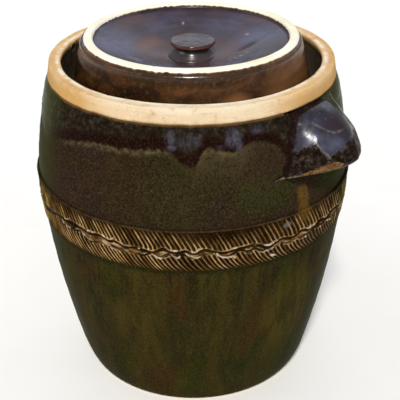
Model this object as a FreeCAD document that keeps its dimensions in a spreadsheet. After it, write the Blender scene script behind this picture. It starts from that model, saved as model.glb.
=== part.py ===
import FreeCAD, Part
import Sketcher
import math
import os

from FreeCAD import Placement, Rotation, Vector

# Water-seal fermentation crock, thrown stoneware, about 10 litres.
# Millimetres, +Z up, origin at the centre of the underside of the foot.
# The two handles lie on the X axis; the crock is a figure of revolution about Z.

doc = FreeCAD.newDocument("FermentationCrock")
sheet = doc.addObject("Spreadsheet::Sheet", "Dims")

DIMS = (
    # --- pot, outside ---
    ("foot_r", 98.0, "radius of the flat the crock stands on"),
    ("foot_edge_r", 101.9, "radius just above the foot edge"),
    ("foot_edge_z", 3.0, "height of the foot edge"),
    ("heel_r", 108.4, "outer radius where the heel meets the belly"),
    ("heel_z", 18.3, "height of the heel"),
    ("heel_bow", 70.0, "arc radius of the heel"),
    ("belly_low_r", 133.2, "outer radius below the decorated band"),
    ("belly_low_z", 151.3, "height there"),
    ("lower_bow", 847.0, "arc radius of the lower wall"),
    ("belly_top_r", 132.4, "outer radius at the shoulder"),
    ("belly_top_z", 233.8, "height of the shoulder"),
    ("belly_bow", 246.6, "arc radius of the belly"),
    ("neck_r", 125.1, "outer radius below the rim band"),
    ("neck_z", 271.3, "height there"),
    ("shoulder_bow", 521.0, "arc radius of the shoulder"),
    ("rim_low_r", 122.6, "outer radius at the lower edge of the rim band"),
    ("rim_low_z", 279.2, "height of the lower edge of the rim band"),
    ("rim_groove", 0.9, "depth of the fine groove under the rim band"),
    ("rim_out_r", 120.9, "outer radius near the top of the rim"),
    ("rim_top_z", 291.5, "height of the rim"),
    ("rim_in_r", 110.0, "inner radius of the rim"),
    ("rim_round", 1.8, "rounding of the rim edges"),
    # --- water gutter and inside ---
    ("gutter_z", 250.0, "floor of the water gutter"),
    ("gutter_fillet", 5.0, "fillet between gutter floor and rim wall"),
    ("shelf_in_r", 78.0, "radius of the opening into the crock"),
    ("shelf_t", 9.0, "thickness of the gutter floor at the opening"),
    ("under_r", 108.0, "radius where the shelf turns into the wall"),
    ("under_z", 238.0, "height of the underside of the shelf there"),
    ("inner_top_r", 121.5, "inner radius below the shelf"),
    ("inner_top_z", 226.0, "height there"),
    ("inner_belly_r", 122.2, "inner radius below the belly"),
    ("inner_belly_z", 151.3, "height there"),
    ("inner_belly_bow", 208.0, "arc radius of the inner belly"),
    ("inner_low_r", 97.6, "inner radius at the heel"),
    ("inner_low_z", 22.0, "height there"),
    ("inner_low_bow", 700.0, "arc radius of the inner lower wall"),
    ("floor_r", 90.0, "radius of the flat inner floor"),
    ("floor_z", 12.0, "thickness of the base"),
    ("floor_bow", 9.0, "fillet of the inner floor"),
    # --- neck collar ---
    ("collar_out_r", 86.5, "outer radius of the neck collar"),
    ("collar_height", 34.0, "height of the neck collar above the gutter floor"),
    ("collar_round", 3.0, "rounding of the collar's top edges"),
    # --- decorated band ---
    ("band_low_z", 157.9, "lower edge of the band"),
    ("band_top_z", 196.9, "upper edge of the band"),
    ("band_low_r", 135.2, "outer radius at the lower edge"),
    ("band_mid_r", 137.4, "outer radius at mid height"),
    ("band_mid_z", 176.0, "height there"),
    ("band_high_r", 137.8, "outer radius below the upper bead"),
    ("band_bead_r", 138.3, "radius of the upper bead"),
    ("band_seat_low_r", 133.0, "radius at the lower edge of the seat the band is pressed into"),
    ("band_seat_high_r", 134.5, "radius at the upper edge of that seat"),
    ("rib_count", 144.0, "ribs in each row of the band"),
    ("rib_slot", 2.6, "width of the gap between ribs"),
    ("rib_lean", 7.6, "sideways lean of an upper rib"),
    ("rib_up_low_z", 182.0, "lower end of the upper ribs"),
    ("rib_up_high_z", 194.2, "upper end of the upper ribs"),
    ("rib_up_floor", 136.9, "distance of the upper gap floors from the axis"),
    ("rib_dn_low_z", 160.4, "lower end of the lower ribs"),
    ("rib_dn_high_z", 171.0, "upper end of the lower ribs"),
    ("rib_dn_floor", 135.7, "distance of the lower gap floors from the axis"),
    ("wave_count", 32.0, "waves in the wavy line between the rows"),
    ("wave_low_z", 174.0, "trough of the wavy line"),
    ("wave_high_z", 179.4, "crest of the wavy line"),
    ("wave_width", 2.6, "width of the wavy line"),
    ("wave_floor", 136.4, "distance of the wavy line's floor from the axis"),
    # --- handles ---
    ("lug_low_z", 234.2, "lip of the handle"),
    ("lug_top_z", 277.4, "top of the handle"),
    ("lug_bury", 1.5, "how far the handle's rim is pressed into the wall"),
    ("lug_top_half", 13.9, "half angle of the handle at its top, degrees"),
    ("lug_low_half", 20.0, "half angle of the handle at its lip, degrees"),
    ("lug_proud", 36.1, "how far the handle stands out from the wall"),
    ("lug_plan_a", 1.42, "first exponent of the handle's plan curve"),
    ("lug_plan_b", 0.765, "second exponent of the handle's plan curve"),
    ("lug_rise", 0.6, "exponent of the handle's rise"),
    ("lug_drop", 5.5, "how far the lip drops to its ends at the wall"),
    ("lug_bulge", 2.3, "swelling of the handle's two flanks"),
    ("lug_tuck", 0.26, "share by which the lip tucks back"),
    ("lug_wall", 10.0, "wall thickness of the handle"),
    ("lug_roof", 13.0, "thickness above the finger hollow"),
    ("lug_cheek", 5.2, "angle of clay left at each side of the hollow, degrees"),
    # --- lid, heights from its seat on the gutter floor ---
    ("lid_dish_z", 40.0, "centre of the dish"),
    ("lid_seat_r", 20.4, "flat at the centre of the dish"),
    ("lid_dish_r", 80.6, "outer radius of the dish"),
    ("lid_dish_edge_z", 55.4, "height of the dish edge"),
    ("lid_dish_bow", 420.0, "arc radius of the dish"),
    ("lid_ring_in_r", 82.5, "inner radius of the bare ring"),
    ("lid_ring_out_r", 90.6, "outer radius of the bare ring"),
    ("lid_ring_z", 60.0, "height of the bare ring"),
    ("lid_bead_r", 93.5, "radius of the bead under the ring"),
    ("lid_bead_z", 53.2, "height of the lower edge of the bead"),
    ("lid_skirt_r", 102.0, "outer radius of the skirt"),
    ("lid_skirt_t", 7.8, "thickness of the skirt"),
    ("lid_skirt_bow", 150.0, "arc radius of the skirt"),
    ("lid_wall_t", 8.0, "thickness of the dish"),
    ("notch_r", 5.0, "radius of the gas notches"),
    # --- lid knob ---
    ("knob_root_r", 19.6, "radius of the knob's root"),
    ("knob_stem_r", 12.2, "radius of the knob's stem"),
    ("knob_disc_r", 19.3, "radius of the knob's disc"),
    ("knob_edge_z", 11.4, "height of the disc's edge"),
    ("knob_dome", 160.0, "arc radius of the knob's top"),
    # --- weighting halves ---
    ("weight_r", 88.0, "radius of a weighting half"),
    ("weight_t", 25.0, "thickness of a weighting half"),
    ("weight_gap", 4.0, "gap between the two halves"),
    ("weight_grip", 14.0, "radius of the finger notch"),
    ("weight_round", 3.0, "rounding of the edges"),
)

VALUE = {}
sheet.set("A1", "dimension")
sheet.set("B1", "value")
sheet.set("C1", "meaning")
for row, (alias, value, note) in enumerate(DIMS, 2):
    sheet.set("A%d" % row, alias)
    sheet.set("B%d" % row, str(value))
    sheet.set("C%d" % row, note)
    sheet.setAlias("B%d" % row, alias)
    VALUE[alias] = value
doc.recompute()


class N:
    """A length that knows its number and the expression it comes from."""

    def __init__(self, number, text):
        self.number = float(number)
        self.text = text

    @staticmethod
    def of(other):
        return other if isinstance(other, N) else N(other, repr(float(other)))

    def __add__(self, other):
        other = N.of(other)
        return N(self.number + other.number, "(%s + %s)" % (self.text, other.text))

    __radd__ = __add__

    def __sub__(self, other):
        other = N.of(other)
        return N(self.number - other.number, "(%s - %s)" % (self.text, other.text))

    def __rsub__(self, other):
        other = N.of(other)
        return N(other.number - self.number, "(%s - %s)" % (other.text, self.text))

    def __mul__(self, other):
        other = N.of(other)
        return N(self.number * other.number, "(%s * %s)" % (self.text, other.text))

    __rmul__ = __mul__

    def __neg__(self):
        return N(-self.number, "(0 - %s)" % self.text)


def D(alias):
    return N(VALUE[alias], "Dims." + alias)


def new_body(label):
    body = doc.addObject("PartDesign::Body", label)
    body.Label = label
    return body


def origin_feature(body, role):
    for item in body.Origin.OriginFeatures:
        if item.Role == role:
            return item
    raise RuntimeError("no " + role)


def arc_between(a, b, radius, side):
    """A minor arc from a to b that bows to the right (side 1) or left (-1)."""
    dx, dy = b[0] - a[0], b[1] - a[1]
    chord = math.hypot(dx, dy)
    right = (dy / chord, -dx / chord)
    away = math.sqrt(max(radius * radius - chord * chord / 4, 0.0))
    cx = (a[0] + b[0]) / 2 - side * right[0] * away
    cy = (a[1] + b[1]) / 2 - side * right[1] * away
    start = math.atan2(a[1] - cy, a[0] - cx)
    end = math.atan2(b[1] - cy, b[0] - cx)
    turn = (end - start) % (2 * math.pi)
    forward = turn < math.pi
    if not forward:
        start, end = end, start
    while end < start:
        end += 2 * math.pi
    circle = Part.Circle(Vector(cx, cy, 0), Vector(0, 0, 1), radius)
    return Part.ArcOfCircle(circle, start, end), forward


def outline(body, name, role, points, bows=None, offset=None):
    """A closed sketch through points; bows maps an edge number to (radius, side)."""
    bows = bows or {}
    points = [(N.of(x), N.of(y)) for x, y in points]
    sketch = body.newObject("Sketcher::SketchObject", name)
    sketch.AttachmentSupport = [(origin_feature(body, role), "")]
    sketch.MapMode = "FlatFace"
    if offset is not None:
        sketch.AttachmentOffset = Placement(Vector(0, 0, offset.number), Rotation())
        sketch.setExpression("AttachmentOffset.Base.z", offset.text)
    count = len(points)
    shapes, ends = [], []
    for i in range(count):
        a = (points[i][0].number, points[i][1].number)
        b = (points[(i + 1) % count][0].number, points[(i + 1) % count][1].number)
        if i in bows:
            shape, forward = arc_between(a, b, N.of(bows[i][0]).number, bows[i][1])
            ends.append((1, 2) if forward else (2, 1))
        else:
            shape = Part.LineSegment(Vector(a[0], a[1], 0), Vector(b[0], b[1], 0))
            ends.append((1, 2))
        shapes.append(shape)
    sketch.addGeometry(shapes, False)
    rules, texts = [], []

    def rule(constraint, text=None):
        rules.append(constraint)
        texts.append(text)

    for i in range(count):
        j = (i + 1) % count
        rule(Sketcher.Constraint("Coincident", i, ends[i][1], j, ends[j][0]))
    for i in range(count):
        x, y = points[i]
        for kind, value, axis in (("DistanceX", x, -2), ("DistanceY", y, -1)):
            where = ends[i][0]
            text = value.text if "Dims." in value.text else None
            if abs(value.number) < 1e-9:
                rule(Sketcher.Constraint("PointOnObject", i, where, axis))
            elif value.number > 0:
                rule(Sketcher.Constraint(kind, -1, 1, i, where, value.number), text)
            else:
                turned = "(0 - %s)" % value.text if text else None
                rule(Sketcher.Constraint(kind, i, where, -1, 1, -value.number), turned)
    for i, (radius, _side) in sorted(bows.items()):
        radius = N.of(radius)
        text = radius.text if "Dims." in radius.text else None
        rule(Sketcher.Constraint("Radius", i, radius.number), text)
    sketch.addConstraint(rules)
    for i, text in enumerate(texts):
        if text:
            sketch.setExpression("Constraints[%d]" % i, text)
    return sketch


def revolve(body, name, sketch):
    feature = body.newObject("PartDesign::Revolution", name)
    feature.Profile = sketch
    feature.ReferenceAxis = (sketch, ["V_Axis"])
    feature.Angle = 360.0
    return feature


# ---------------------------------------------------------------- crock body
foot_r, foot_edge_r = D("foot_r"), D("foot_edge_r")
outside = [
    (0, 0),
    (foot_r, 0),
    (foot_edge_r, D("foot_edge_z")),
    (D("heel_r"), D("heel_z")),
    (D("belly_low_r"), D("belly_low_z")),
    (D("belly_top_r"), D("belly_top_z")),
    (D("neck_r"), D("neck_z")),
    (D("rim_low_r") - 0.2, D("rim_low_z") - 1.6),
    (D("rim_low_r") - D("rim_groove"), D("rim_low_z") - 0.8),
    (D("rim_low_r"), D("rim_low_z")),
    (D("rim_out_r"), D("rim_top_z") - D("rim_round")),
    (D("rim_out_r") - D("rim_round"), D("rim_top_z")),
]
outside_bows = {
    2: (D("heel_bow"), 1),
    3: (D("lower_bow"), 1),
    4: (D("belly_bow"), 1),
    5: (D("shoulder_bow"), 1),
    10: (D("rim_round"), 1),
}
inside = [
    (D("rim_in_r") + D("rim_round"), D("rim_top_z")),
    (D("rim_in_r"), D("rim_top_z") - D("rim_round")),
    (D("rim_in_r") + 0.8, D("gutter_z") + D("gutter_fillet")),
    (D("rim_in_r") + 0.8 - D("gutter_fillet"), D("gutter_z")),
    (D("shelf_in_r"), D("gutter_z")),
    (D("shelf_in_r"), D("gutter_z") - D("shelf_t")),
    (D("under_r"), D("under_z")),
    (D("inner_top_r"), D("inner_top_z")),
    (D("inner_belly_r"), D("inner_belly_z")),
    (D("inner_low_r"), D("inner_low_z")),
    (D("floor_r"), D("floor_z")),
    (0, D("floor_z")),
]
inside_bows = {
    12: (D("rim_round"), 1),
    14: (D("gutter_fillet"), -1),
    18: (13.0, -1),
    19: (D("inner_belly_bow"), -1),
    20: (D("inner_low_bow"), -1),
    21: (D("floor_bow"), -1),
}
bows = dict(outside_bows)
bows.update(inside_bows)
crock = new_body("crock_body")
revolve(
    crock, "pot_turned", outline(crock, "pot_section", "XZ_Plane", outside + inside, bows)
)

# The filled outside of the pot, used only to trim what is luted onto it.
form = new_body("wall_form")
form_points = outside + [(0, D("rim_top_z"))]
revolve(
    form, "form_turned", outline(form, "form_section", "XZ_Plane", form_points, outside_bows)
)
doc.recompute()

# The strip of the decorated band is pressed a little way into the soft wall.
for body, name in ((crock, "band_seat"), (form, "form_seat")):
    before = body.Shape.Volume
    seat_points = [
        (D("band_seat_low_r"), D("band_low_z")),
        (D("band_bead_r") + 4.0, D("band_low_z")),
        (D("band_bead_r") + 4.0, D("band_top_z")),
        (D("band_seat_high_r"), D("band_top_z")),
    ]
    seat_sketch = outline(body, name + "_sketch", "XZ_Plane", seat_points)
    seat = body.newObject("PartDesign::Groove", name)
    seat.Profile = seat_sketch
    seat.ReferenceAxis = (seat_sketch, ["V_Axis"])
    seat.Angle = 360.0
    body.Tip = seat
    doc.recompute()
    if body.Shape.Volume > before - 1000.0:
        raise RuntimeError(name + " cuts nothing")

# --------------------------------------------------------------- neck collar
collar = new_body("neck_collar")
collar_points = [
    (D("shelf_in_r"), 0),
    (D("collar_out_r") + 0.5, 0),
    (D("collar_out_r"), 3.0),
    (D("collar_out_r"), D("collar_height") - D("collar_round")),
    (D("collar_out_r") - D("collar_round"), D("collar_height")),
    (D("shelf_in_r") + D("collar_round"), D("collar_height")),
    (D("shelf_in_r"), D("collar_height") - D("collar_round")),
]
revolve(
    collar,
    "collar_turned",
    outline(
        collar,
        "collar_section",
        "XZ_Plane",
        collar_points,
        {3: (D("collar_round"), 1), 5: (D("collar_round"), 1)},
    ),
)
collar.Placement = Placement(Vector(0, 0, VALUE["gutter_z"]), Rotation())
collar.setExpression("Placement.Base.z", "Dims.gutter_z")

# ------------------------------------------------------------ decorated band
ring = new_body("band_ring")
ring_points = [
    (D("belly_low_r") - 6.0, D("band_low_z")),
    (D("band_low_r") - 0.7, D("band_low_z")),
    (D("band_low_r"), D("band_low_z") + 1.4),
    (D("band_mid_r"), D("band_mid_z")),
    (D("band_high_r"), D("band_top_z") - 2.2),
    (D("band_bead_r"), D("band_top_z") - 1.6),
    (D("band_bead_r"), D("band_top_z") - 0.6),
    (D("band_bead_r") - 0.7, D("band_top_z")),
    (D("belly_low_r") - 6.0, D("band_top_z")),
]
revolve(ring, "ring_turned", outline(ring, "ring_section", "XZ_Plane", ring_points))
doc.recompute()


def slots(body, name, count, points, floor):
    """Cuts one slot outward from a plane beside the axis and repeats it round."""
    before = body.Shape.Volume
    sketch = outline(body, name + "_sketch", "YZ_Plane", points, None, D(floor))
    pocket = body.newObject("PartDesign::Pocket", name + "_slot")
    pocket.Profile = sketch
    pocket.Type = 0
    pocket.Length = 8.0
    pocket.Reversed = True
    doc.recompute()
    if body.Shape.Volume > before - 1.0:
        raise RuntimeError(name + " cuts nothing")
    turned = body.newObject("PartDesign::PolarPattern", name + "_round")
    turned.Originals = [pocket]
    turned.Axis = (origin_feature(body, "Z_Axis"), [""])
    turned.Angle = 360.0
    turned.Occurrences = int(VALUE[count])
    turned.setExpression("Occurrences", "Dims." + count)
    body.Tip = turned
    doc.recompute()


lean, gap = D("rib_lean"), D("rib_slot")
slots(
    ring,
    "upper",
    "rib_count",
    [
        (0 - lean * 0.5 - gap * 0.5, D("rib_up_high_z")),
        (lean * 0.5 - gap * 0.5, D("rib_up_low_z")),
        (lean * 0.5 + gap * 0.5, D("rib_up_low_z")),
        (0 - lean * 0.5 + gap * 0.5, D("rib_up_high_z")),
    ],
    "rib_up_floor",
)
slots(
    ring,
    "lower",
    "rib_count",
    [
        (0 - lean * 0.44 - gap * 0.5, D("rib_dn_high_z")),
        (lean * 0.44 - gap * 0.5, D("rib_dn_low_z")),
        (lean * 0.44 + gap * 0.5, D("rib_dn_low_z")),
        (0 - lean * 0.44 + gap * 0.5, D("rib_dn_high_z")),
    ],
    "rib_dn_floor",
)
half = math.pi * VALUE["wave_floor"] / VALUE["wave_count"]
step = half * 0.5
low, high = D("wave_low_z"), D("wave_high_z")
thick = D("wave_width") * 0.5
slots(
    ring,
    "wave",
    "wave_count",
    [
        (-half, low - thick),
        (-half + step * 0.5, low - thick),
        (-step * 0.5, high - thick),
        (step * 0.5, high - thick),
        (half - step * 0.5, low - thick),
        (half, low - thick),
        (half, low + thick),
        (half - step * 0.4, low + thick),
        (step * 0.6, high + thick),
        (-step * 0.6, high + thick),
        (-half + step * 0.4, low + thick),
        (-half, low + thick),
    ],
    "wave_floor",
)
band = doc.addObject("Part::Cut", "decor_band")
band.Label = "decor_band"
band.Base = ring
band.Tool = form
doc.recompute()


# ------------------------------------------------------------------- handles
def arc_radius_at(z, a, b, radius):
    """Radius of a bowed wall piece between two section points, at height z."""
    dx, dy = b[0] - a[0], b[1] - a[1]
    chord = math.hypot(dx, dy)
    right = (dy / chord, -dx / chord)
    away = math.sqrt(radius * radius - chord * chord / 4)
    cx = (a[0] + b[0]) / 2 - right[0] * away
    cy = (a[1] + b[1]) / 2 - right[1] * away
    return cx + math.sqrt(radius * radius - (z - cy) ** 2)


def wall_r(z):
    low_end = (VALUE["belly_low_r"], VALUE["belly_low_z"])
    top_end = (VALUE["belly_top_r"], VALUE["belly_top_z"])
    neck = (VALUE["neck_r"], VALUE["neck_z"])
    if z <= top_end[1]:
        return arc_radius_at(z, low_end, top_end, VALUE["belly_bow"])
    if z <= neck[1]:
        return arc_radius_at(z, top_end, neck, VALUE["shoulder_bow"])
    share = (z - neck[1]) / (VALUE["rim_low_z"] - neck[1])
    return neck[0] + share * (VALUE["rim_low_r"] - neck[0])


def hood(top_z, low_z, top_half, low_half, proud, tuck, bury, drop, bulge):
    """A hood-shaped solid centred on +X that starts inside the wall."""
    across, along = 33, 25
    outer, inner = [], []
    for i in range(across):
        u = -1.0 + 2.0 * i / (across - 1)
        u = math.copysign(abs(u) ** 0.9, u)
        plan = max(1.0 - abs(u) ** VALUE["lug_plan_a"], 0.0) ** VALUE["lug_plan_b"]
        lip = low_z - drop * u**4
        flank = math.exp(-(((abs(u) - 0.74) / 0.36) ** 2)) * (1.0 - abs(u) ** 6)
        outer_line, inner_line = [], []
        for j in range(along):
            w = (j / (along - 1)) ** 2.2
            rise = math.sin(0.5 * math.pi * w) ** VALUE["lug_rise"]
            rise *= 1.0 - tuck * max((w - 0.75) / 0.25, 0.0) ** 2
            z = top_z + (lip - top_z) * w
            swell = bulge * flank * math.exp(-(((w - 0.51) / 0.19) ** 2))
            spread = math.radians(top_half + (low_half - top_half) * w**1.5) * u
            r = wall_r(z) - bury + (proud + bury) * plan * rise + swell
            outer_line.append(Vector(r * math.cos(spread), r * math.sin(spread), z))
            r = wall_r(z) - bury - 6.0
            inner_line.append(Vector(r * math.cos(spread), r * math.sin(spread), z))
        outer.append(outer_line)
        inner.append(inner_line)
    skin = Part.BSplineSurface()
    skin.interpolate(outer)
    back = Part.BSplineSurface()
    back.interpolate(inner)

    def edge(surface, which):
        u0, u1, v0, v1 = surface.bounds()
        if which == "first":
            return surface.uIso(u0).toShape()
        if which == "last":
            return surface.uIso(u1).toShape()
        if which == "top":
            return surface.vIso(v0).toShape()
        return surface.vIso(v1).toShape()

    faces = [skin.toShape(), back.toShape()]
    for which in ("first", "last", "top", "bottom"):
        faces.append(Part.makeRuledSurface(edge(skin, which), edge(back, which)))
    shell = Part.makeShell([face for part in faces for face in part.Faces])
    shell.sewShape()
    shape = shell if shell.ShapeType == "Shell" else shell.Shells[0]
    solid = Part.makeSolid(shape)
    if solid.Volume < 0:
        solid.reverse()
    return solid


for label, turn in (("handle_right", 0.0), ("handle_left", 180.0)):
    blank = doc.addObject("Part::Feature", label + "_blank")
    blank.Shape = hood(
        VALUE["lug_top_z"],
        VALUE["lug_low_z"],
        VALUE["lug_top_half"],
        VALUE["lug_low_half"],
        VALUE["lug_proud"],
        VALUE["lug_tuck"],
        VALUE["lug_bury"],
        VALUE["lug_drop"],
        VALUE["lug_bulge"],
    )
    hollow = doc.addObject("Part::Feature", label + "_hollow")
    hollow.Shape = hood(
        VALUE["lug_top_z"] - VALUE["lug_roof"],
        VALUE["lug_low_z"] - 2.6,
        VALUE["lug_top_half"] - 0.6 * VALUE["lug_cheek"],
        VALUE["lug_low_half"] - VALUE["lug_cheek"],
        VALUE["lug_proud"] - VALUE["lug_wall"],
        VALUE["lug_tuck"],
        VALUE["lug_bury"],
        0.0,
        0.0,
    )
    trimmed = doc.addObject("Part::Cut", label + "_trimmed")
    trimmed.Base = blank
    trimmed.Tool = form
    lug = doc.addObject("Part::Cut", label)
    lug.Label = label
    lug.Base = trimmed
    lug.Tool = hollow
    lug.Placement = Placement(Vector(0, 0, 0), Rotation(Vector(0, 0, 1), turn))
doc.recompute()

# ----------------------------------------------------------------------- lid
lid = new_body("lid")
lid_points = [
    (0, D("lid_dish_z")),
    (0, D("lid_dish_z") - D("lid_wall_t")),
    (D("lid_seat_r"), D("lid_dish_z") - D("lid_wall_t")),
    (D("lid_dish_r"), D("lid_dish_edge_z") - D("lid_wall_t") - 0.2),
    (D("lid_bead_r") - D("lid_skirt_t") + 1.2, D("lid_bead_z") - 11.3),
    (D("lid_skirt_r") - D("lid_skirt_t"), 2.0),
    (D("lid_skirt_r") - D("lid_skirt_t") + 1.2, 0),
    (D("lid_skirt_r") - 1.6, 0),
    (D("lid_skirt_r"), 2.0),
    (D("lid_bead_r"), D("lid_bead_z")),
    (D("lid_bead_r") - 2.0, D("lid_bead_z") + 3.9),
    (D("lid_ring_out_r") - 0.1, D("lid_bead_z") + 4.1),
    (D("lid_ring_out_r"), D("lid_ring_z") - 1.8),
    (D("lid_ring_out_r") - 2.0, D("lid_ring_z")),
    (D("lid_ring_in_r") + 1.2, D("lid_ring_z")),
    (D("lid_ring_in_r"), D("lid_ring_z") - 1.2),
    (D("lid_ring_in_r") - 0.5, D("lid_ring_z") - 3.2),
    (D("lid_dish_r"), D("lid_dish_edge_z")),
    (D("lid_seat_r"), D("lid_dish_z")),
]
lid_bows = {
    2: (D("lid_dish_bow"), 1),
    3: (9.0, -1),
    4: (D("lid_skirt_bow"), -1),
    8: (D("lid_skirt_bow"), 1),
    9: (3.4, 1),
    12: (2.2, 1),
    17: (D("lid_dish_bow"), -1),
}
revolve(lid, "lid_turned", outline(lid, "lid_section", "XZ_Plane", lid_points, lid_bows))
doc.recompute()
full = lid.Shape.Volume
notch_sketch = lid.newObject("Sketcher::SketchObject", "notch_sketch")
notch_sketch.AttachmentSupport = [(origin_feature(lid, "XZ_Plane"), "")]
notch_sketch.MapMode = "FlatFace"
notch_sketch.addGeometry(
    [Part.Circle(Vector(0, 0, 0), Vector(0, 0, 1), VALUE["notch_r"])], False
)
notch_sketch.addConstraint(
    [
        Sketcher.Constraint("Coincident", 0, 3, -1, 1),
        Sketcher.Constraint("Radius", 0, VALUE["notch_r"]),
    ]
)
notch_sketch.setExpression("Constraints[1]", "Dims.notch_r")
for name, back in (("notch_front", False), ("notch_back", True)):
    notch = lid.newObject("PartDesign::Pocket", name)
    notch.Profile = notch_sketch
    notch.Type = 0
    notch.Length = 120.0
    notch.Reversed = back
    lid.Tip = notch
    doc.recompute()
    if lid.Shape.Volume > full - 50.0:
        raise RuntimeError(name + " cuts nothing")
    full = lid.Shape.Volume
lid.Placement = Placement(Vector(0, 0, VALUE["gutter_z"]), Rotation())
lid.setExpression("Placement.Base.z", "Dims.gutter_z")

# ---------------------------------------------------------------------- knob
knob = new_body("lid_knob")
knob_rim = D("knob_disc_r") - 0.8
knob_fall = N(
    math.sqrt(VALUE["knob_dome"] ** 2 - knob_rim.number**2),
    "sqrt(Dims.knob_dome * Dims.knob_dome - %s * %s)" % (knob_rim.text, knob_rim.text),
)
knob_points = [
    (0, 0),
    (D("knob_root_r"), 0),
    (D("knob_root_r"), 0.6),
    (D("knob_stem_r") + 1.7, 3.2),
    (D("knob_stem_r"), 6.2),
    (D("knob_stem_r") + 1.8, 8.6),
    (D("knob_disc_r") - 1.4, 9.7),
    (D("knob_disc_r"), D("knob_edge_z")),
    (knob_rim, D("knob_edge_z") + 2.1),
    (0, D("knob_edge_z") + 2.1 + D("knob_dome") - knob_fall),
]
revolve(
    knob,
    "knob_turned",
    outline(
        knob,
        "knob_section",
        "XZ_Plane",
        knob_points,
        {2: (9.0, -1), 3: (6.0, -1), 4: (4.0, -1), 8: (D("knob_dome"), 1)},
    ),
)
knob.Placement = Placement(
    Vector(0, 0, VALUE["gutter_z"] + VALUE["lid_dish_z"]), Rotation()
)
knob.setExpression("Placement.Base.z", "Dims.gutter_z + Dims.lid_dish_z")

# --------------------------------------------------------- weighting halves
for label, turn in (("weight_half_front", 0.0), ("weight_half_back", 180.0)):
    half_disc = new_body(label)
    r, g = D("weight_r"), D("weight_grip")
    corner = 6.0
    inset = math.sqrt((VALUE["weight_r"] - corner) ** 2 - corner**2)
    contact = VALUE["weight_r"] / (VALUE["weight_r"] - corner)
    sketch = outline(
        half_disc,
        label + "_plan",
        "XY_Plane",
        [
            (0 - g, 0),
            (-inset, 0),
            (-inset * contact, -corner * contact),
            (0, 0 - r),
            (inset * contact, -corner * contact),
            (inset, 0),
            (g, 0),
            (0, 0 - g),
        ],
        {
            1: (corner, 1),
            2: (r, 1),
            3: (r, 1),
            4: (corner, 1),
            6: (g, -1),
            7: (g, -1),
        },
    )
    slab = half_disc.newObject("PartDesign::Pad", label + "_slab")
    slab.Profile = sketch
    slab.Length = VALUE["weight_t"]
    slab.setExpression("Length", "Dims.weight_t")
    doc.recompute()
    rims = []
    for number, edge in enumerate(half_disc.Shape.Edges, 1):
        box = edge.BoundBox
        if box.ZMax - box.ZMin < 1e-6:
            rims.append("Edge%d" % number)
    soft = half_disc.newObject("PartDesign::Fillet", label + "_soft")
    soft.Base = (slab, rims)
    soft.Radius = VALUE["weight_round"]
    soft.setExpression("Radius", "Dims.weight_round")
    half_disc.Tip = soft
    away = -VALUE["weight_gap"] / 2 if turn == 0.0 else VALUE["weight_gap"] / 2
    half_disc.Placement = Placement(
        Vector(0, away, VALUE["floor_z"]), Rotation(Vector(0, 0, 1), turn)
    )
    half_disc.setExpression("Placement.Base.z", "Dims.floor_z")
doc.recompute()

# -------------------------------------------------------------------- export
NODES = (
    "crock_body",
    "neck_collar",
    "decor_band",
    "handle_right",
    "handle_left",
    "lid",
    "lid_knob",
    "weight_half_front",
    "weight_half_back",
)
for item in doc.Objects:
    state = [word for word in item.State if word in ("Invalid", "Error")]
    if state:
        raise RuntimeError("%s: %s" % (item.Name, ", ".join(state)))
os.makedirs("parts", exist_ok=True)
for label in NODES:
    item = doc.getObject(label)
    shape = item.Shape
    if shape.isNull() or not shape.isValid() or not shape.Solids:
        raise RuntimeError(label + " is not a valid solid")
    shape.exportStep("parts/%s.step" % label)
    box = shape.BoundBox
    print(
        "%-18s solids %d volume %.0f  x %.1f..%.1f y %.1f..%.1f z %.1f..%.1f"
        % (
            label,
            len(shape.Solids),
            shape.Volume,
            box.XMin,
            box.XMax,
            box.YMin,
            box.YMax,
            box.ZMin,
            box.ZMax,
        )
    )
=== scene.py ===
"""Looks of the water-seal fermentation crock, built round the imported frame. Metres, +Z up."""

import math

import bpy
import numpy as np
from mathutils import Matrix, Vector


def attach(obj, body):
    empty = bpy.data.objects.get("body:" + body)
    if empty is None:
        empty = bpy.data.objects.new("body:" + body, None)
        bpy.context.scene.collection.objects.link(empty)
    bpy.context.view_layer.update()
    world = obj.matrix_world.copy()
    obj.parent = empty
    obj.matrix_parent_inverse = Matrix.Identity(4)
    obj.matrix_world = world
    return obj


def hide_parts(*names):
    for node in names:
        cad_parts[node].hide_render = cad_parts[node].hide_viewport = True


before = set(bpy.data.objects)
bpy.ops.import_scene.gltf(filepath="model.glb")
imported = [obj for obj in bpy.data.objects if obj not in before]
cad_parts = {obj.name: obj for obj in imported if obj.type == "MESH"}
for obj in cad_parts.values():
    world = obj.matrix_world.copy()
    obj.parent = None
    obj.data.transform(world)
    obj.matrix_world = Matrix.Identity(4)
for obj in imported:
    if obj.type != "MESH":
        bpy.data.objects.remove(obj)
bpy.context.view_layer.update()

# Azimuths on the pot are given in degrees from the side that faces the viewer,
# positive to the viewer's right. The right handle is at +51.4 of these degrees.
FACING = 51.4


def turn_of(azimuth):
    """Angle from +X in radians of an azimuth from the facing side, in degrees."""
    return np.radians(np.asarray(azimuth, float) - FACING)


def azimuth_of(angle):
    """Azimuth from the facing side, in degrees from -180 to 180."""
    return (np.degrees(angle) + FACING + 180.0) % 360.0 - 180.0


# ------------------------------------------------------------------ geometry
def arc_points(a, b, radius, side, count):
    a, b = np.array(a, float), np.array(b, float)
    d = b - a
    chord = np.hypot(*d)
    right = np.array([d[1], -d[0]]) / chord
    away = math.sqrt(max(radius * radius - chord * chord / 4, 0.0))
    centre = (a + b) / 2 - side * right * away
    start = math.atan2(*(a - centre)[::-1])
    end = math.atan2(*(b - centre)[::-1])
    turn = (end - start + math.pi) % (2 * math.pi) - math.pi
    t = start + turn * np.linspace(0, 1, count)
    return centre + radius * np.stack([np.cos(t), np.sin(t)], -1)


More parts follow.
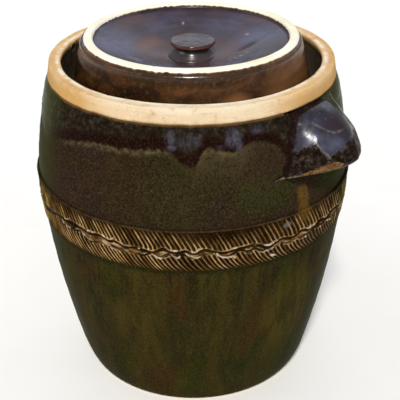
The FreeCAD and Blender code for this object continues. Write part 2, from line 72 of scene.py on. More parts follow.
def dense_line(points, bows, closed=False, step=0.12):
    """The section as a fine polyline, in millimetres."""
    out = []
    last = len(points) if closed else len(points) - 1
    for i in range(last):
        a, b = points[i], points[(i + 1) % len(points)]
        length = math.hypot(b[0] - a[0], b[1] - a[1])
        n = max(int(length / step), 2)
        if i in bows:
            piece = arc_points(a, b, bows[i][0], bows[i][1], n + 1)
        else:
            t = np.linspace(0, 1, n + 1)[:, None]
            piece = np.array(a, float) * (1 - t) + np.array(b, float) * t
        out.append(piece[:-1])
    if not closed:
        out.append(np.array([points[-1]], float))
    return np.concatenate(out)


def smoothed(line, sigma, closed):
    """Rounds the corners of a fine polyline."""
    if sigma <= 0:
        return line
    step = np.hypot(*np.diff(line, axis=0).T).mean()
    reach = int(3 * sigma / step)
    k = np.exp(-0.5 * (np.arange(-reach, reach + 1) * step / sigma) ** 2)
    k /= k.sum()
    out = np.empty_like(line)
    for c in range(2):
        if closed:
            padded = np.concatenate([line[-reach:, c], line[:, c], line[:reach, c]])
        else:
            head = 2 * line[0, c] - line[reach:0:-1, c]
            tail = 2 * line[-1, c] - line[-2 : -reach - 2 : -1, c]
            padded = np.concatenate([head, line[:, c], tail])
        out[:, c] = np.convolve(padded, k, "valid")
    return out


def resampled(line, count, closed, curl=2.0, extra=None):
    """count points along a fine polyline, denser where it bends or extra asks."""
    if closed:
        line = np.concatenate([line, line[:1]])
    seg = np.hypot(*np.diff(line, axis=0).T)
    tangent = np.diff(line, axis=0) / np.maximum(seg, 1e-9)[:, None]
    bend = np.zeros(len(seg))
    bend[1:] = np.hypot(*(tangent[1:] - tangent[:-1]).T) / np.maximum(seg[1:], 1e-9)
    wide = max(int(0.8 / seg.mean()), 1)
    bend = np.convolve(bend, np.ones(wide) / wide, "same")
    weight = seg * (1.0 + curl * np.minimum(bend, 2.0) ** 0.7 * 2.0)
    if extra is not None:
        mid = (line[1:] + line[:-1]) / 2
        weight = weight * extra(mid[:, 0], mid[:, 1])
    total = np.concatenate([[0], np.cumsum(weight)])
    want = np.linspace(0, total[-1], count + (1 if closed else 0))
    if closed:
        want = want[:-1]
    return np.stack([np.interp(want, total, line[:, c]) for c in range(2)], -1)


def normals_of(line, closed):
    """Outward unit normals, to the right of the direction of travel."""
    if closed:
        t = np.roll(line, -1, 0) - np.roll(line, 1, 0)
    else:
        t = np.gradient(line, axis=0)
    t /= np.maximum(np.hypot(*t.T), 1e-9)[:, None]
    return np.stack([t[:, 1], -t[:, 0]], -1)


def mesh_object(name, verts, faces, body, materials, face_slots=None, attributes=None):
    """A smooth mesh piece. verts in millimetres; attributes are floats per vertex."""
    mesh = bpy.data.meshes.new(name)
    mesh.from_pydata((np.asarray(verts, float) * 0.001).tolist(), [], faces)
    mesh.update()
    mesh.polygons.foreach_set("use_smooth", np.ones(len(mesh.polygons), bool))
    for material in materials:
        mesh.materials.append(material)
    if face_slots is not None:
        mesh.polygons.foreach_set("material_index", np.asarray(face_slots, np.int32))
    for key, values in (attributes or {}).items():
        layer = mesh.attributes.new(key, "FLOAT", "POINT")
        layer.data.foreach_set("value", np.asarray(values, np.float32))
    mesh.validate()
    ob = bpy.data.objects.new(name, mesh)
    bpy.context.collection.objects.link(ob)
    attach(ob, body)
    return ob


def grid_faces(rows, cols, wrap_rows=False, wrap_cols=True, flip=False):
    r = np.arange(rows if wrap_rows else rows - 1)
    c = np.arange(cols if wrap_cols else cols - 1)
    R, C = np.meshgrid(r, c, indexing="ij")
    R2, C2 = (R + 1) % rows, (C + 1) % cols
    quads = np.stack([R * cols + C, R * cols + C2, R2 * cols + C2, R2 * cols + C], -1)
    quads = quads.reshape(-1, 4)
    return quads[:, ::-1] if flip else quads


def waves(angle, height, seed, count=40, around=(1, 12), along=(0.0, 0.1), power=0.5):
    """Smooth repeatable unevenness round the pot, about -1 to 1."""
    rng = np.random.default_rng(seed)
    out = np.zeros(np.broadcast(angle, height).shape)
    size = 0.0
    for _ in range(count):
        n = int(rng.integers(around[0], around[1] + 1))
        m = rng.uniform(along[0], along[1]) * rng.choice([-1, 1])
        amp = 1.0 / max(n, 1) ** power
        out += amp * np.cos(n * angle + m * height + rng.uniform(0, 2 * math.pi))
        size += amp * amp / 2
    return out / (2.2 * math.sqrt(size))


def step_up(x, a, b):
    t = np.clip((x - a) / (b - a), 0, 1)
    return t * t * (3 - 2 * t)


def blob(azimuth, height, at, wide, z, tall, hard=2.0):
    """A soft spot on the wall, 1 at its middle."""
    da = (azimuth - at + 180.0) % 360.0 - 180.0
    d = (np.abs(da / wide) ** hard + np.abs((height - z) / tall) ** hard) ** (1 / hard)
    return 1.0 - step_up(d, 0.35, 1.0)


# ---------------------------------------------------------------- materials
class Paint:
    """A node material with short names for the nodes that it is made of."""

    def __init__(self, name):
        self.mat = bpy.data.materials.new(name)
        self.mat.use_nodes = True
        self.tree = self.mat.node_tree
        self.tree.nodes.clear()
        self.out = self.tree.nodes.new("ShaderNodeOutputMaterial")
        self.bsdf = self.tree.nodes.new("ShaderNodeBsdfPrincipled")
        self.tree.links.new(self.bsdf.outputs[0], self.out.inputs["Surface"])
        coords = self.tree.nodes.new("ShaderNodeTexCoord")
        self.where = coords.outputs["Object"]
        parts = self.tree.nodes.new("ShaderNodeSeparateXYZ")
        self.tree.links.new(self.where, parts.inputs[0])
        self.x, self.y, self.z = parts.outputs

    def put(self, socket, value):
        if value is None:
            return
        if isinstance(value, bpy.types.NodeSocket):
            self.tree.links.new(value, socket)
        elif isinstance(value, (tuple, list)) and len(value) == 3 and socket.type == "RGBA":
            socket.default_value = (*value, 1.0)
        else:
            socket.default_value = value

    def math(self, op, a, b=None, c=None, clamp=False):
        n = self.tree.nodes.new("ShaderNodeMath")
        n.operation, n.use_clamp = op, clamp
        for i, v in enumerate((a, b, c)):
            self.put(n.inputs[i], v)
        return n.outputs[0]

    def attr(self, name):
        n = self.tree.nodes.new("ShaderNodeAttribute")
        n.attribute_name = name
        return n.outputs["Fac"]

    def stretch(self, x, y, z, vec=None):
        n = self.tree.nodes.new("ShaderNodeMapping")
        self.put(n.inputs["Vector"], vec or self.where)
        n.inputs["Scale"].default_value = (x, y, z)
        return n.outputs[0]

    def noise(self, scale, detail=3.0, rough=0.55, vec=None, bend=0.0, shift=None):
        n = self.tree.nodes.new("ShaderNodeTexNoise")
        if shift is not None:
            m = self.tree.nodes.new("ShaderNodeMapping")
            self.put(m.inputs["Vector"], vec or self.where)
            m.inputs["Location"].default_value = (shift, shift * 1.7, shift * 0.6)
            vec = m.outputs[0]
        self.put(n.inputs["Vector"], vec or self.where)
        n.inputs["Scale"].default_value = scale
        n.inputs["Detail"].default_value = detail
        n.inputs["Roughness"].default_value = rough
        n.inputs["Distortion"].default_value = bend
        return n.outputs["Fac"]

    def cells(self, scale, vec=None, feature="F1", spread=1.0):
        n = self.tree.nodes.new("ShaderNodeTexVoronoi")
        n.feature = feature
        self.put(n.inputs["Vector"], vec or self.where)
        n.inputs["Scale"].default_value = scale
        n.inputs["Randomness"].default_value = spread
        return n.outputs["Distance"], n.outputs["Color"]

    def range(self, value, a, b, lo=0.0, hi=1.0, smooth=True):
        n = self.tree.nodes.new("ShaderNodeMapRange")
        n.interpolation_type = "SMOOTHSTEP" if smooth else "LINEAR"
        self.put(n.inputs["Value"], value)
        for key, v in (("From Min", a), ("From Max", b), ("To Min", lo), ("To Max", hi)):
            n.inputs[key].default_value = v
        return n.outputs["Result"]

    def ramp(self, value, stops, kind="LINEAR"):
        n = self.tree.nodes.new("ShaderNodeValToRGB")
        n.color_ramp.interpolation = kind
        while len(n.color_ramp.elements) < len(stops):
            n.color_ramp.elements.new(0.5)
        for e, (at, colour) in zip(n.color_ramp.elements, stops):
            e.position, e.color = at, (*colour, 1.0)
        self.put(n.inputs[0], value)
        return n.outputs["Color"]

    def mix(self, fac, a, b, kind="MIX"):
        n = self.tree.nodes.new("ShaderNodeMix")
        n.data_type, n.blend_type = "RGBA", kind
        self.put(n.inputs[0], fac)
        self.put(n.inputs[6], a)
        self.put(n.inputs[7], b)
        return n.outputs[2]

    def blend(self, fac, a, b):
        """Mixes two numbers."""
        n = self.tree.nodes.new("ShaderNodeMix")
        n.data_type = "FLOAT"
        self.put(n.inputs[0], fac)
        self.put(n.inputs[2], a)
        self.put(n.inputs[3], b)
        return n.outputs[0]

    def bump(self, height, distance, strength=1.0, after=None):
        n = self.tree.nodes.new("ShaderNodeBump")
        n.inputs["Strength"].default_value = strength
        n.inputs["Distance"].default_value = distance
        self.put(n.inputs["Height"], height)
        self.put(n.inputs["Normal"], after)
        return n.outputs[0]

    def finish(self, colour, rough, normal=None, specular=0.5, coat=0.0, coat_rough=0.1):
        self.put(self.bsdf.inputs["Base Color"], colour)
        self.put(self.bsdf.inputs["Roughness"], rough)
        self.put(self.bsdf.inputs["Normal"], normal)
        self.bsdf.inputs["Specular IOR Level"].default_value = specular
        self.bsdf.inputs["Coat Weight"].default_value = coat
        self.bsdf.inputs["Coat Roughness"].default_value = coat_rough
        return self.mat


def bare_clay(p, painted_front_light=None):
    """Unglazed stoneware with the fine level grain of a turned surface."""
    grain = p.noise(1.0, 5.0, 0.65, vec=p.stretch(55, 55, 1500))
    broad = p.noise(16.0, 3.0, 0.5, shift=3.1)
    sand = p.noise(1400.0, 2.0, 0.7)
    colour = p.ramp(
        broad,
        [(0.30, (0.56, 0.33, 0.125)), (0.50, (0.66, 0.42, 0.185)), (0.72, (0.75, 0.52, 0.265))],
    )
    # where a front mask is given, the clay turns a paler cream: painted light on the rim's front, which faces the key
    # light
    if painted_front_light is not None:
        soft = p.math("MULTIPLY", painted_front_light, p.range(broad, 0.2, 0.6, 0.75, 1.0))
        colour = p.mix(soft, colour, (0.78, 0.68, 0.510))
    colour = p.mix(p.range(grain, 0.52, 0.74, 0.0, 0.45), colour, (0.48, 0.27, 0.11))
    blot = p.noise(130.0, 4.0, 0.7, shift=5.5)
    colour = p.mix(p.range(blot, 0.55, 0.72, 0.0, 0.55), colour, (0.42, 0.23, 0.10))
    colour = p.mix(p.range(blot, 0.44, 0.30, 0.0, 0.45), colour, (0.88, 0.76, 0.56))
    colour = p.mix(p.range(sand, 0.60, 0.74, 0.0, 0.55), colour, (0.30, 0.165, 0.07))
    height = p.math("ADD", p.math("MULTIPLY", grain, 0.7), p.math("MULTIPLY", sand, 0.5))
    return colour, height


def pot_paint():
    p = Paint("pot_outside")
    run, lip, blue_patch = p.attr("run"), p.attr("lip"), p.attr("blue_patch")
    smear, painted_front_light, green_and_shade = p.attr("smear"), p.attr("painted_front_light"), p.attr("green_and_shade")

    # the olive-brown coat
    clouds = p.noise(30.0, 5.0, 0.6)
    olive = p.ramp(
        clouds,
        [(0.30, (0.0160, 0.0102, 0.0048)), (0.50, (0.0242, 0.0145, 0.0070)), (0.70, (0.0345, 0.0203, 0.0100))],
    )
    broad = p.noise(9.0, 3.0, 0.5, shift=7.7)
    upper = p.range(p.z, 0.150, 0.175)
    brown = p.math("MULTIPLY", p.range(broad, 0.44, 0.62, 0.0, 0.75), upper)
    olive = p.mix(brown, olive, (0.0320, 0.0165, 0.0108))
    plum = p.noise(26.0, 4.0, 0.6, shift=2.9)
    olive = p.mix(p.math("MULTIPLY", p.range(plum, 0.52, 0.66, 0.0, 0.8), upper), olive, (0.0250, 0.0140, 0.0125))

    # soft upright streaks below the band
    streaks = p.noise(1.0, 3.0, 0.55, vec=p.stretch(44, 44, 7.0), bend=0.4)
    thin = p.noise(1.0, 4.0, 0.65, vec=p.stretch(150, 150, 26.0), bend=0.4)
    tone = p.noise(1.0, 3.0, 0.55, vec=p.stretch(30, 30, 8.0), bend=0.3, shift=6.3)
    low = p.ramp(
        streaks,
        [
            (0.30, (0.0140, 0.0145, 0.0045)),
            (0.44, (0.0240, 0.0205, 0.0053)),
            (0.54, (0.0350, 0.0255, 0.0060)),
            (0.68, (0.0470, 0.0345, 0.0074)),
        ],
    )
    low = p.mix(p.range(tone, 0.47, 0.35, 0.0, 0.80), low, (0.0220, 0.0260, 0.0036))
    low = p.mix(p.range(tone, 0.54, 0.66, 0.0, 0.75), low, (0.0400, 0.0190, 0.0052))
    fresh = p.range(p.z, 0.105, 0.150, 0.25, 1.0)
    low = p.mix(p.math("MULTIPLY", p.range(thin, 0.50, 0.62, 0.0, 0.80), fresh), low, (0.0150, 0.0120, 0.0040))
    low = p.mix(p.range(thin, 0.46, 0.32, 0.0, 0.50), low, (0.0520, 0.0400, 0.0080))
    below = p.range(p.z, 0.163, 0.150)
    coat = p.mix(below, olive, low)
    # green tint and painted shade: olive green on the left flank and a painted shadow under the right handle
    coat = p.mix(p.math("MULTIPLY", green_and_shade, 0.8), coat, (0.026, 0.036, 0.0060))
    ragged = p.math("MULTIPLY", p.math("SUBTRACT", p.noise(120.0, 5.0, 0.7, shift=4.4), 0.5), 1.1)
    smear = p.range(p.math("ADD", smear, ragged), 0.27, 1.0)
    coat = p.mix(
        p.math("MULTIPLY", smear, p.range(thin, 0.35, 0.62, 1.0, 0.45)), coat, (0.150, 0.080, 0.0140)
    )

    # painted reflection: an olive-green cast on both flanks
    flank = p.math("MULTIPLY", p.attr("flank"), p.range(p.noise(24.0, 4.0, 0.6, shift=5.2), 0.30, 0.55, 0.55, 1.0))
    haze = p.math("MULTIPLY", p.range(run, -2.4, -0.5), p.attr("haze"))
    haze = p.math("MULTIPLY", haze, p.range(p.noise(70.0, 5.0, 0.7, shift=1.1), 0.36, 0.60, 0.30, 1.0))
    coat = p.mix(p.math("MULTIPLY", haze, 0.50), coat, (0.0900, 0.0660, 0.0370))
    coat = p.mix(p.math("MULTIPLY", p.attr("ochre"), p.range(thin, 0.40, 0.60, 1.0, 0.35)), coat, (0.0600, 0.0470, 0.0068))
    # painted shadow: a dark green line on the wall just under the band
    under = p.math("MULTIPLY", p.range(p.z, 0.1535, 0.1562), p.range(p.z, 0.1592, 0.1578))
    coat = p.mix(p.math("MULTIPLY", under, 0.75), coat, (0.0120, 0.0150, 0.0030))

    # mottling and speckle
    mottle = p.noise(560.0, 4.0, 0.70)
    calm = p.math("SUBTRACT", 1.0, p.math("MULTIPLY", below, 0.34))
    coat = p.mix(p.math("MULTIPLY", p.range(mottle, 0.51, 0.66, 0.0, 0.75), calm), coat, (0.0520, 0.0400, 0.0165))
    coat = p.mix(p.math("MULTIPLY", p.range(mottle, 0.49, 0.36, 0.0, 0.72), calm), coat, (0.0075, 0.0052, 0.0018))
    # painted olive-green reflection on the flanks, broken up by the mottle
    flank_olive_reflection = p.math("MULTIPLY", flank, p.range(mottle, 0.38, 0.58, 0.40, 0.90))
    flank_olive_reflection = p.math("MULTIPLY", flank_olive_reflection, p.range(tone, 0.38, 0.58, 0.55, 1.0))
    coat = p.mix(flank_olive_reflection, coat, (0.0340, 0.0400, 0.0022))
    speck = p.noise(640.0, 1.5, 0.5, shift=1.3)
    coat = p.mix(p.range(speck, 0.69, 0.76, 0.0, 0.6), coat, (0.110, 0.090, 0.0520))

    # the dark run under the rim, with a painted highlight along its lower edge
    drawn = p.noise(1.0, 4.0, 0.65, vec=p.stretch(260, 260, 70.0), shift=3.7)
    rough_edge = p.math("MULTIPLY", p.math("SUBTRACT", p.noise(190.0, 4.0, 0.65), 0.5), 0.50)
    rough_edge = p.math("ADD", rough_edge, p.math("MULTIPLY", p.math("SUBTRACT", drawn, 0.5), 0.55))
    line = p.math("ADD", run, rough_edge)
    # painted highlight: a lighter line along the lower edge of the run
    light = p.math(
        "MULTIPLY", p.range(line, -0.62, -0.14), p.range(line, 0.16, -0.10)
    )
    light = p.math("MULTIPLY", light, p.range(p.noise(240.0, 3.0, 0.6, shift=9.1), 0.40, 0.62, 0.15, 1.0))
    light = p.math("MULTIPLY", light, p.attr("fringe"))
    coat = p.mix(light, coat, (0.095, 0.072, 0.0330))
    dark = p.mix(p.range(mottle, 0.48, 0.66, 0.0, 0.8), (0.0105, 0.0034, 0.0020), (0.0290, 0.0165, 0.0125))
    worn = p.math("MULTIPLY", p.range(p.math("ADD", run, p.math("MULTIPLY", broad, 0.8)), 1.0, 1.7), 0.85)
    spots = p.noise(210.0, 4.0, 0.7, shift=2.2)
    grey = p.ramp(spots, [(0.38, (0.0080, 0.0055, 0.0034)), (0.56, (0.0240, 0.0190, 0.0120)), (0.72, (0.070, 0.057, 0.043))])
    dark = p.mix(worn, dark, grey)
    over = p.range(line, -0.16, 0.20)
    # the painted olive-green reflection on the flanks also covers the dark run
    dark = p.mix(p.math("MULTIPLY", flank, 0.75), dark, (0.0620, 0.0680, 0.0160))
    coat = p.mix(over, coat, dark)
    blue_patches = p.math("MULTIPLY", blue_patch, p.range(p.noise(1.0, 4.0, 0.65, vec=p.stretch(210, 210, 80.0), shift=4.0), 0.34, 0.60, 0.10, 1.0))
    blue_patches = p.math("MULTIPLY", blue_patches, p.range(mottle, 0.34, 0.56, 0.45, 1.0))
    coat = p.mix(blue_patches, coat, (0.072, 0.068, 0.092))

    # bare rim, with a soft brown edge where the glaze thins out
    face = p.attr("face")
    # painted light: the paler cream front, with a little less of it on the rim's lower face
    painted_front_light = p.math("MULTIPLY", painted_front_light, p.range(face, 0.0, 1.0, 1.0, 0.82))
    clay, clay_height = bare_clay(p, painted_front_light)
    # painted shade: darker orange-brown on the rim's lower outer face and towards its sides, away from the lit front
    painted_rim_shade = p.math("MULTIPLY", face, p.range(painted_front_light, 0.0, 0.75, 0.60, 0.06))
    clay = p.mix(painted_rim_shade, clay, (0.560, 0.310, 0.095))
    wob = p.math("MULTIPLY", p.math("SUBTRACT", p.noise(90.0, 4.0, 0.65), 0.5), 0.16)
    edge = p.math("ADD", lip, wob)
    thinning = p.range(edge, -0.22, 0.03)
    coat = p.mix(p.math("MULTIPLY", thinning, 0.85), coat, (0.190, 0.098, 0.0360))
    bare = p.range(edge, -0.02, 0.20)
    burnt = p.range(edge, 0.34, 0.06)
    burnt = p.math("MULTIPLY", burnt, p.range(p.noise(120.0, 5.0, 0.7, shift=8.3), 0.38, 0.62, 0.05, 0.60))
    clay = p.mix(burnt, clay, (0.54, 0.30, 0.105))
    # painted highlight: a whitish line along the rim's inner top edge
    painted_glint = p.math("MULTIPLY", p.attr("rim_glint"), p.range(p.noise(70.0, 4.0, 0.65, shift=6.6), 0.34, 0.60, 0.15, 0.9))
    clay = p.mix(painted_glint, clay, (0.92, 0.86, 0.73))
    colour = p.mix(bare, coat, clay)

    # gloss
    gloss = p.blend(over, p.range(mottle, 0.3, 0.7, 0.36, 0.50), p.range(spots, 0.3, 0.7, 0.14, 0.28))
    gloss = p.blend(below, gloss, p.range(streaks, 0.3, 0.7, 0.36, 0.50))
    rough = p.blend(bare, gloss, p.range(p.noise(500.0, 3.0), 0.3, 0.7, 0.62, 0.80))

    # relief of the glaze
    pits = p.noise(620.0, 3.0, 0.6, shift=5.0)
    swell = p.noise(85.0, 3.0, 0.5, shift=6.0)
    relief = p.math("ADD", p.math("MULTIPLY", pits, 0.25), p.math("MULTIPLY", swell, 0.75))
    relief = p.blend(bare, relief, p.math("MULTIPLY", clay_height, 0.55))
    normal = p.bump(relief, 0.00055, 0.8)
    return p.finish(colour, rough, normal, specular=0.004)


def dark_glaze(name, warm=0.5, gloss=0.16, specular=0.4):
    """The liver-brown inside glaze."""
    p = Paint(name)
    clouds = p.noise(26.0, 5.0, 0.6)
    colour = p.ramp(
        clouds,
        [(0.30, (0.0700, 0.0520, 0.0340)), (0.52, (0.1300, 0.0980, 0.0640)), (0.72, (0.1900, 0.1440, 0.0940))],
    )
    colour = p.mix(p.range(p.noise(420.0, 3.0, 0.6), 0.55, 0.75, 0.0, 0.5), colour, (0.110, 0.078, 0.044))
    rough = p.range(p.noise(60.0, 3.0), 0.3, 0.7, gloss * 0.8, gloss * 1.5)
    normal = p.bump(p.noise(90.0, 4.0, 0.5, shift=2.0), 0.0006, 0.7)
    return p.finish(colour, rough, normal, specular=specular)


def foot_paint():
    p = Paint("foot_clay")
    clay, height = bare_clay(p)
    dull = p.mix(0.35, clay, (0.30, 0.20, 0.11))
    wear = p.noise(60.0, 4.0, 0.6, shift=8.0)
    dull = p.mix(p.range(wear, 0.5, 0.75, 0.0, 0.5), dull, (0.16, 0.10, 0.055))
    rough = p.range(wear, 0.3, 0.7, 0.70, 0.88)
    return p.finish(dull, rough, p.bump(height, 0.0006, 0.8), specular=0.25)


def band_paint():
    p = Paint("band_glaze")
    ridge, roll, edge = p.attr("ridge"), p.attr("roll"), p.attr("bead")
    smear, green_and_shade = p.attr("smear"), p.attr("green_and_shade")
    clouds = p.noise(70.0, 4.0, 0.65)
    deep = p.ramp(clouds, [(0.3, (0.0050, 0.0024, 0.0005)), (0.5, (0.0110, 0.0052, 0.0010)), (0.70, (0.0280, 0.0140, 0.0036))])
    rusty = p.noise(210.0, 4.0, 0.7, shift=1.9)
    deep = p.mix(p.range(rusty, 0.55, 0.70, 0.0, 0.7), deep, (0.0480, 0.0200, 0.0060))
    mid = p.ramp(
        p.noise(150.0, 3.0, 0.6, shift=3.0),
        [(0.30, (0.070, 0.034, 0.0085)), (0.50, (0.115, 0.060, 0.0180)), (0.70, (0.160, 0.088, 0.0340))],
    )
    crest = p.ramp(
        p.noise(110.0, 3.0, 0.6, shift=5.0),
        [(0.30, (0.230, 0.128, 0.0400)), (0.50, (0.370, 0.230, 0.0920)), (0.70, (0.560, 0.410, 0.2200))],
    )
    colour = p.mix(p.range(ridge, 0.12, 0.48), deep, mid)
    colour = p.mix(p.range(ridge, 0.48, 0.95), colour, crest)
    broken = p.range(p.noise(1.0, 4.0, 0.7, vec=p.stretch(150, 150, 340), shift=2.2), 0.36, 0.62, 0.15, 1.0)
    colour = p.mix(p.math("MULTIPLY", edge, 0.85), colour, (0.0300, 0.0165, 0.0080))
    colour = p.mix(p.math("MULTIPLY", p.math("MULTIPLY", edge, 0.85), broken), colour, (0.082, 0.052, 0.0310))
    # painted highlight on the raised rolls beside the chain
    roll_glint = p.ramp(
        p.noise(90.0, 3.0, 0.6, shift=8.0), [(0.35, (0.400, 0.260, 0.1500)), (0.52, (0.540, 0.420, 0.2800)), (0.66, (0.680, 0.610, 0.5000))]
    )
    colour = p.mix(p.range(roll, 0.22, 0.85), colour, roll_glint)
    colour = p.mix(p.math("MULTIPLY", smear, 0.70), colour, (0.150, 0.078, 0.0120))
    # a green cast from the green tint, the painted shadow under the handle and the painted flank reflection
    tint = p.math("MAXIMUM", p.math("MULTIPLY", green_and_shade, p.range(p.z, 0.195, 0.162, 0.35, 0.85)), p.attr("flank"))
    colour = p.mix(tint, colour, p.mix(1.0, colour, (0.62, 0.78, 0.30), "MULTIPLY"))
    # painted shade: darker green along the band's lower edge
    foot = p.range(p.z, 0.1612, 0.1586)
    foot = p.math("MULTIPLY", foot, p.range(rusty, 0.35, 0.60, 1.0, 0.6))
    colour = p.mix(p.math("MULTIPLY", foot, 0.85), colour, (0.0210, 0.0220, 0.0036))
    speck = p.noise(800.0, 2.0, 0.6, shift=1.0)
    colour = p.mix(p.range(speck, 0.60, 0.74, 0.0, 0.45), colour, (0.13, 0.090, 0.042))
    colour = p.mix(p.range(speck, 0.42, 0.30, 0.0, 0.50), colour, (0.010, 0.006, 0.002))
    drip = p.math("MULTIPLY", p.attr("drip"), p.range(rusty, 0.30, 0.62, 1.0, 0.55))
    colour = p.mix(p.math("MULTIPLY", drip, 0.9), colour, (0.175, 0.175, 0.150))
    rough = p.range(p.noise(260.0, 3.0), 0.3, 0.7, 0.28, 0.44)
    normal = p.bump(p.noise(500.0, 3.0, 0.6, shift=2.5), 0.00035, 0.7)
    return p.finish(colour, rough, normal, specular=0.008)


def handle_paint(name, specular):
    p = Paint(name)
    bare, rag, painted_glint, root = p.attr("bare"), p.attr("low"), p.attr("painted_glint"), p.attr("root")
    sheen, dent = p.attr("sheen"), p.attr("dent")
    clouds = p.noise(38.0, 5.0, 0.62)
    colour = p.ramp(
        clouds,
        [(0.32, (0.0080, 0.0065, 0.0095)), (0.50, (0.0160, 0.0135, 0.0215)), (0.68, (0.0300, 0.0280, 0.0450))],
    )
    fleck = p.noise(300.0, 3.0, 0.7, shift=6.0)
    colour = p.mix(p.range(fleck, 0.59, 0.70, 0.0, 0.7), colour, (0.105, 0.098, 0.115))
    warm = p.noise(52.0, 4.0, 0.6, shift=4.4)
    colour = p.mix(p.range(warm, 0.52, 0.66, 0.0, 0.7), colour, (0.0250, 0.0135, 0.0150))
    # painted shade: darker aubergine in the thumb dent
    colour = p.mix(p.math("MULTIPLY", dent, 0.85), colour, (0.0230, 0.0120, 0.0140))
    # painted sheen: a bluish reflection and the glow round the highlight on the glossy face
    colour = p.mix(sheen, colour, (0.078, 0.082, 0.132))
    mottle = p.noise(230.0, 4.0, 0.7, shift=2.0)
    ragged = p.ramp(
        mottle,
        [(0.36, (0.0050, 0.0028, 0.0016)), (0.52, (0.0150, 0.0090, 0.0062)), (0.68, (0.0560, 0.0400, 0.0330))],
    )
    torn_low = p.math("ADD", rag, p.math("MULTIPLY", p.math("SUBTRACT", p.noise(300.0, 5.0, 0.75, shift=1.2), 0.5), 1.30))
    colour = p.mix(p.range(torn_low, -0.10, 0.12), colour, ragged)
    brim = p.math("MULTIPLY", p.range(torn_low, -0.16, -0.03), p.range(torn_low, 0.08, -0.01))
    colour = p.mix(p.math("MULTIPLY", brim, p.range(mottle, 0.4, 0.6, 0.1, 0.55)), colour, (0.110, 0.095, 0.090))
    near = p.mix(p.range(mottle, 0.47, 0.68, 0.0, 0.7), (0.0105, 0.0044, 0.0028), (0.0290, 0.0190, 0.0140))
    creep = p.math("ADD", root, p.math("MULTIPLY", p.math("SUBTRACT", p.noise(300.0, 5.0, 0.80, shift=7.2), 0.5), 3.2))
    colour = p.mix(p.range(creep, 0.15, 0.85), colour, near)
    back = p.math("ADD", p.attr("back"), p.math("MULTIPLY", p.math("SUBTRACT", p.noise(120.0, 5.0, 0.7, shift=3.9), 0.5), 1.0))
    turned = p.mix(p.range(mottle, 0.42, 0.62, 0.0, 0.8), (0.0380, 0.0400, 0.0120), (0.0160, 0.0120, 0.0050))
    colour = p.mix(p.range(back, 0.30, 0.85, 0.0, 0.9), colour, turned)
    clay, clay_height = bare_clay(p)
    torn = p.math("ADD", bare, p.math("MULTIPLY", p.math("SUBTRACT", p.noise(130.0, 4.0, 0.7), 0.5), 0.9))
    brown = p.mix(p.range(mottle, 0.36, 0.62, 0.76, 1.0), clay, (0.098, 0.042, 0.0125))
    naked = p.range(torn, 0.48, 0.70)
    colour = p.mix(naked, colour, brown)
    # painted highlights along the curl, the fold, the luted seam and the smears
    colour = p.mix(p.math("MULTIPLY", painted_glint, p.range(fleck, 0.36, 0.60, 0.15, 1.0)), colour, (0.300, 0.240, 0.180))
    rough = p.range(p.noise(150.0, 3.0, shift=1.0), 0.3, 0.7, 0.17, 0.26)
    rough = p.blend(p.range(torn_low, -0.05, 0.10), rough, p.range(mottle, 0.3, 0.7, 0.26, 0.42))
    rough = p.blend(naked, rough, 0.6)
    lumps = p.noise(64.0, 3.0, 0.45, shift=3.0, bend=0.4)
    fine = p.noise(420.0, 3.0, 0.6)
    relief = p.math("ADD", lumps, p.math("MULTIPLY", fine, 0.06))
    coarse = p.math("ADD", p.math("MULTIPLY", mottle, 0.5), p.math("MULTIPLY", lumps, 0.6))
    relief = p.blend(p.range(torn_low, -0.05, 0.10), relief, coarse)
    return p.finish(colour, rough, p.bump(relief, 0.0008, 0.8), specular=specular)


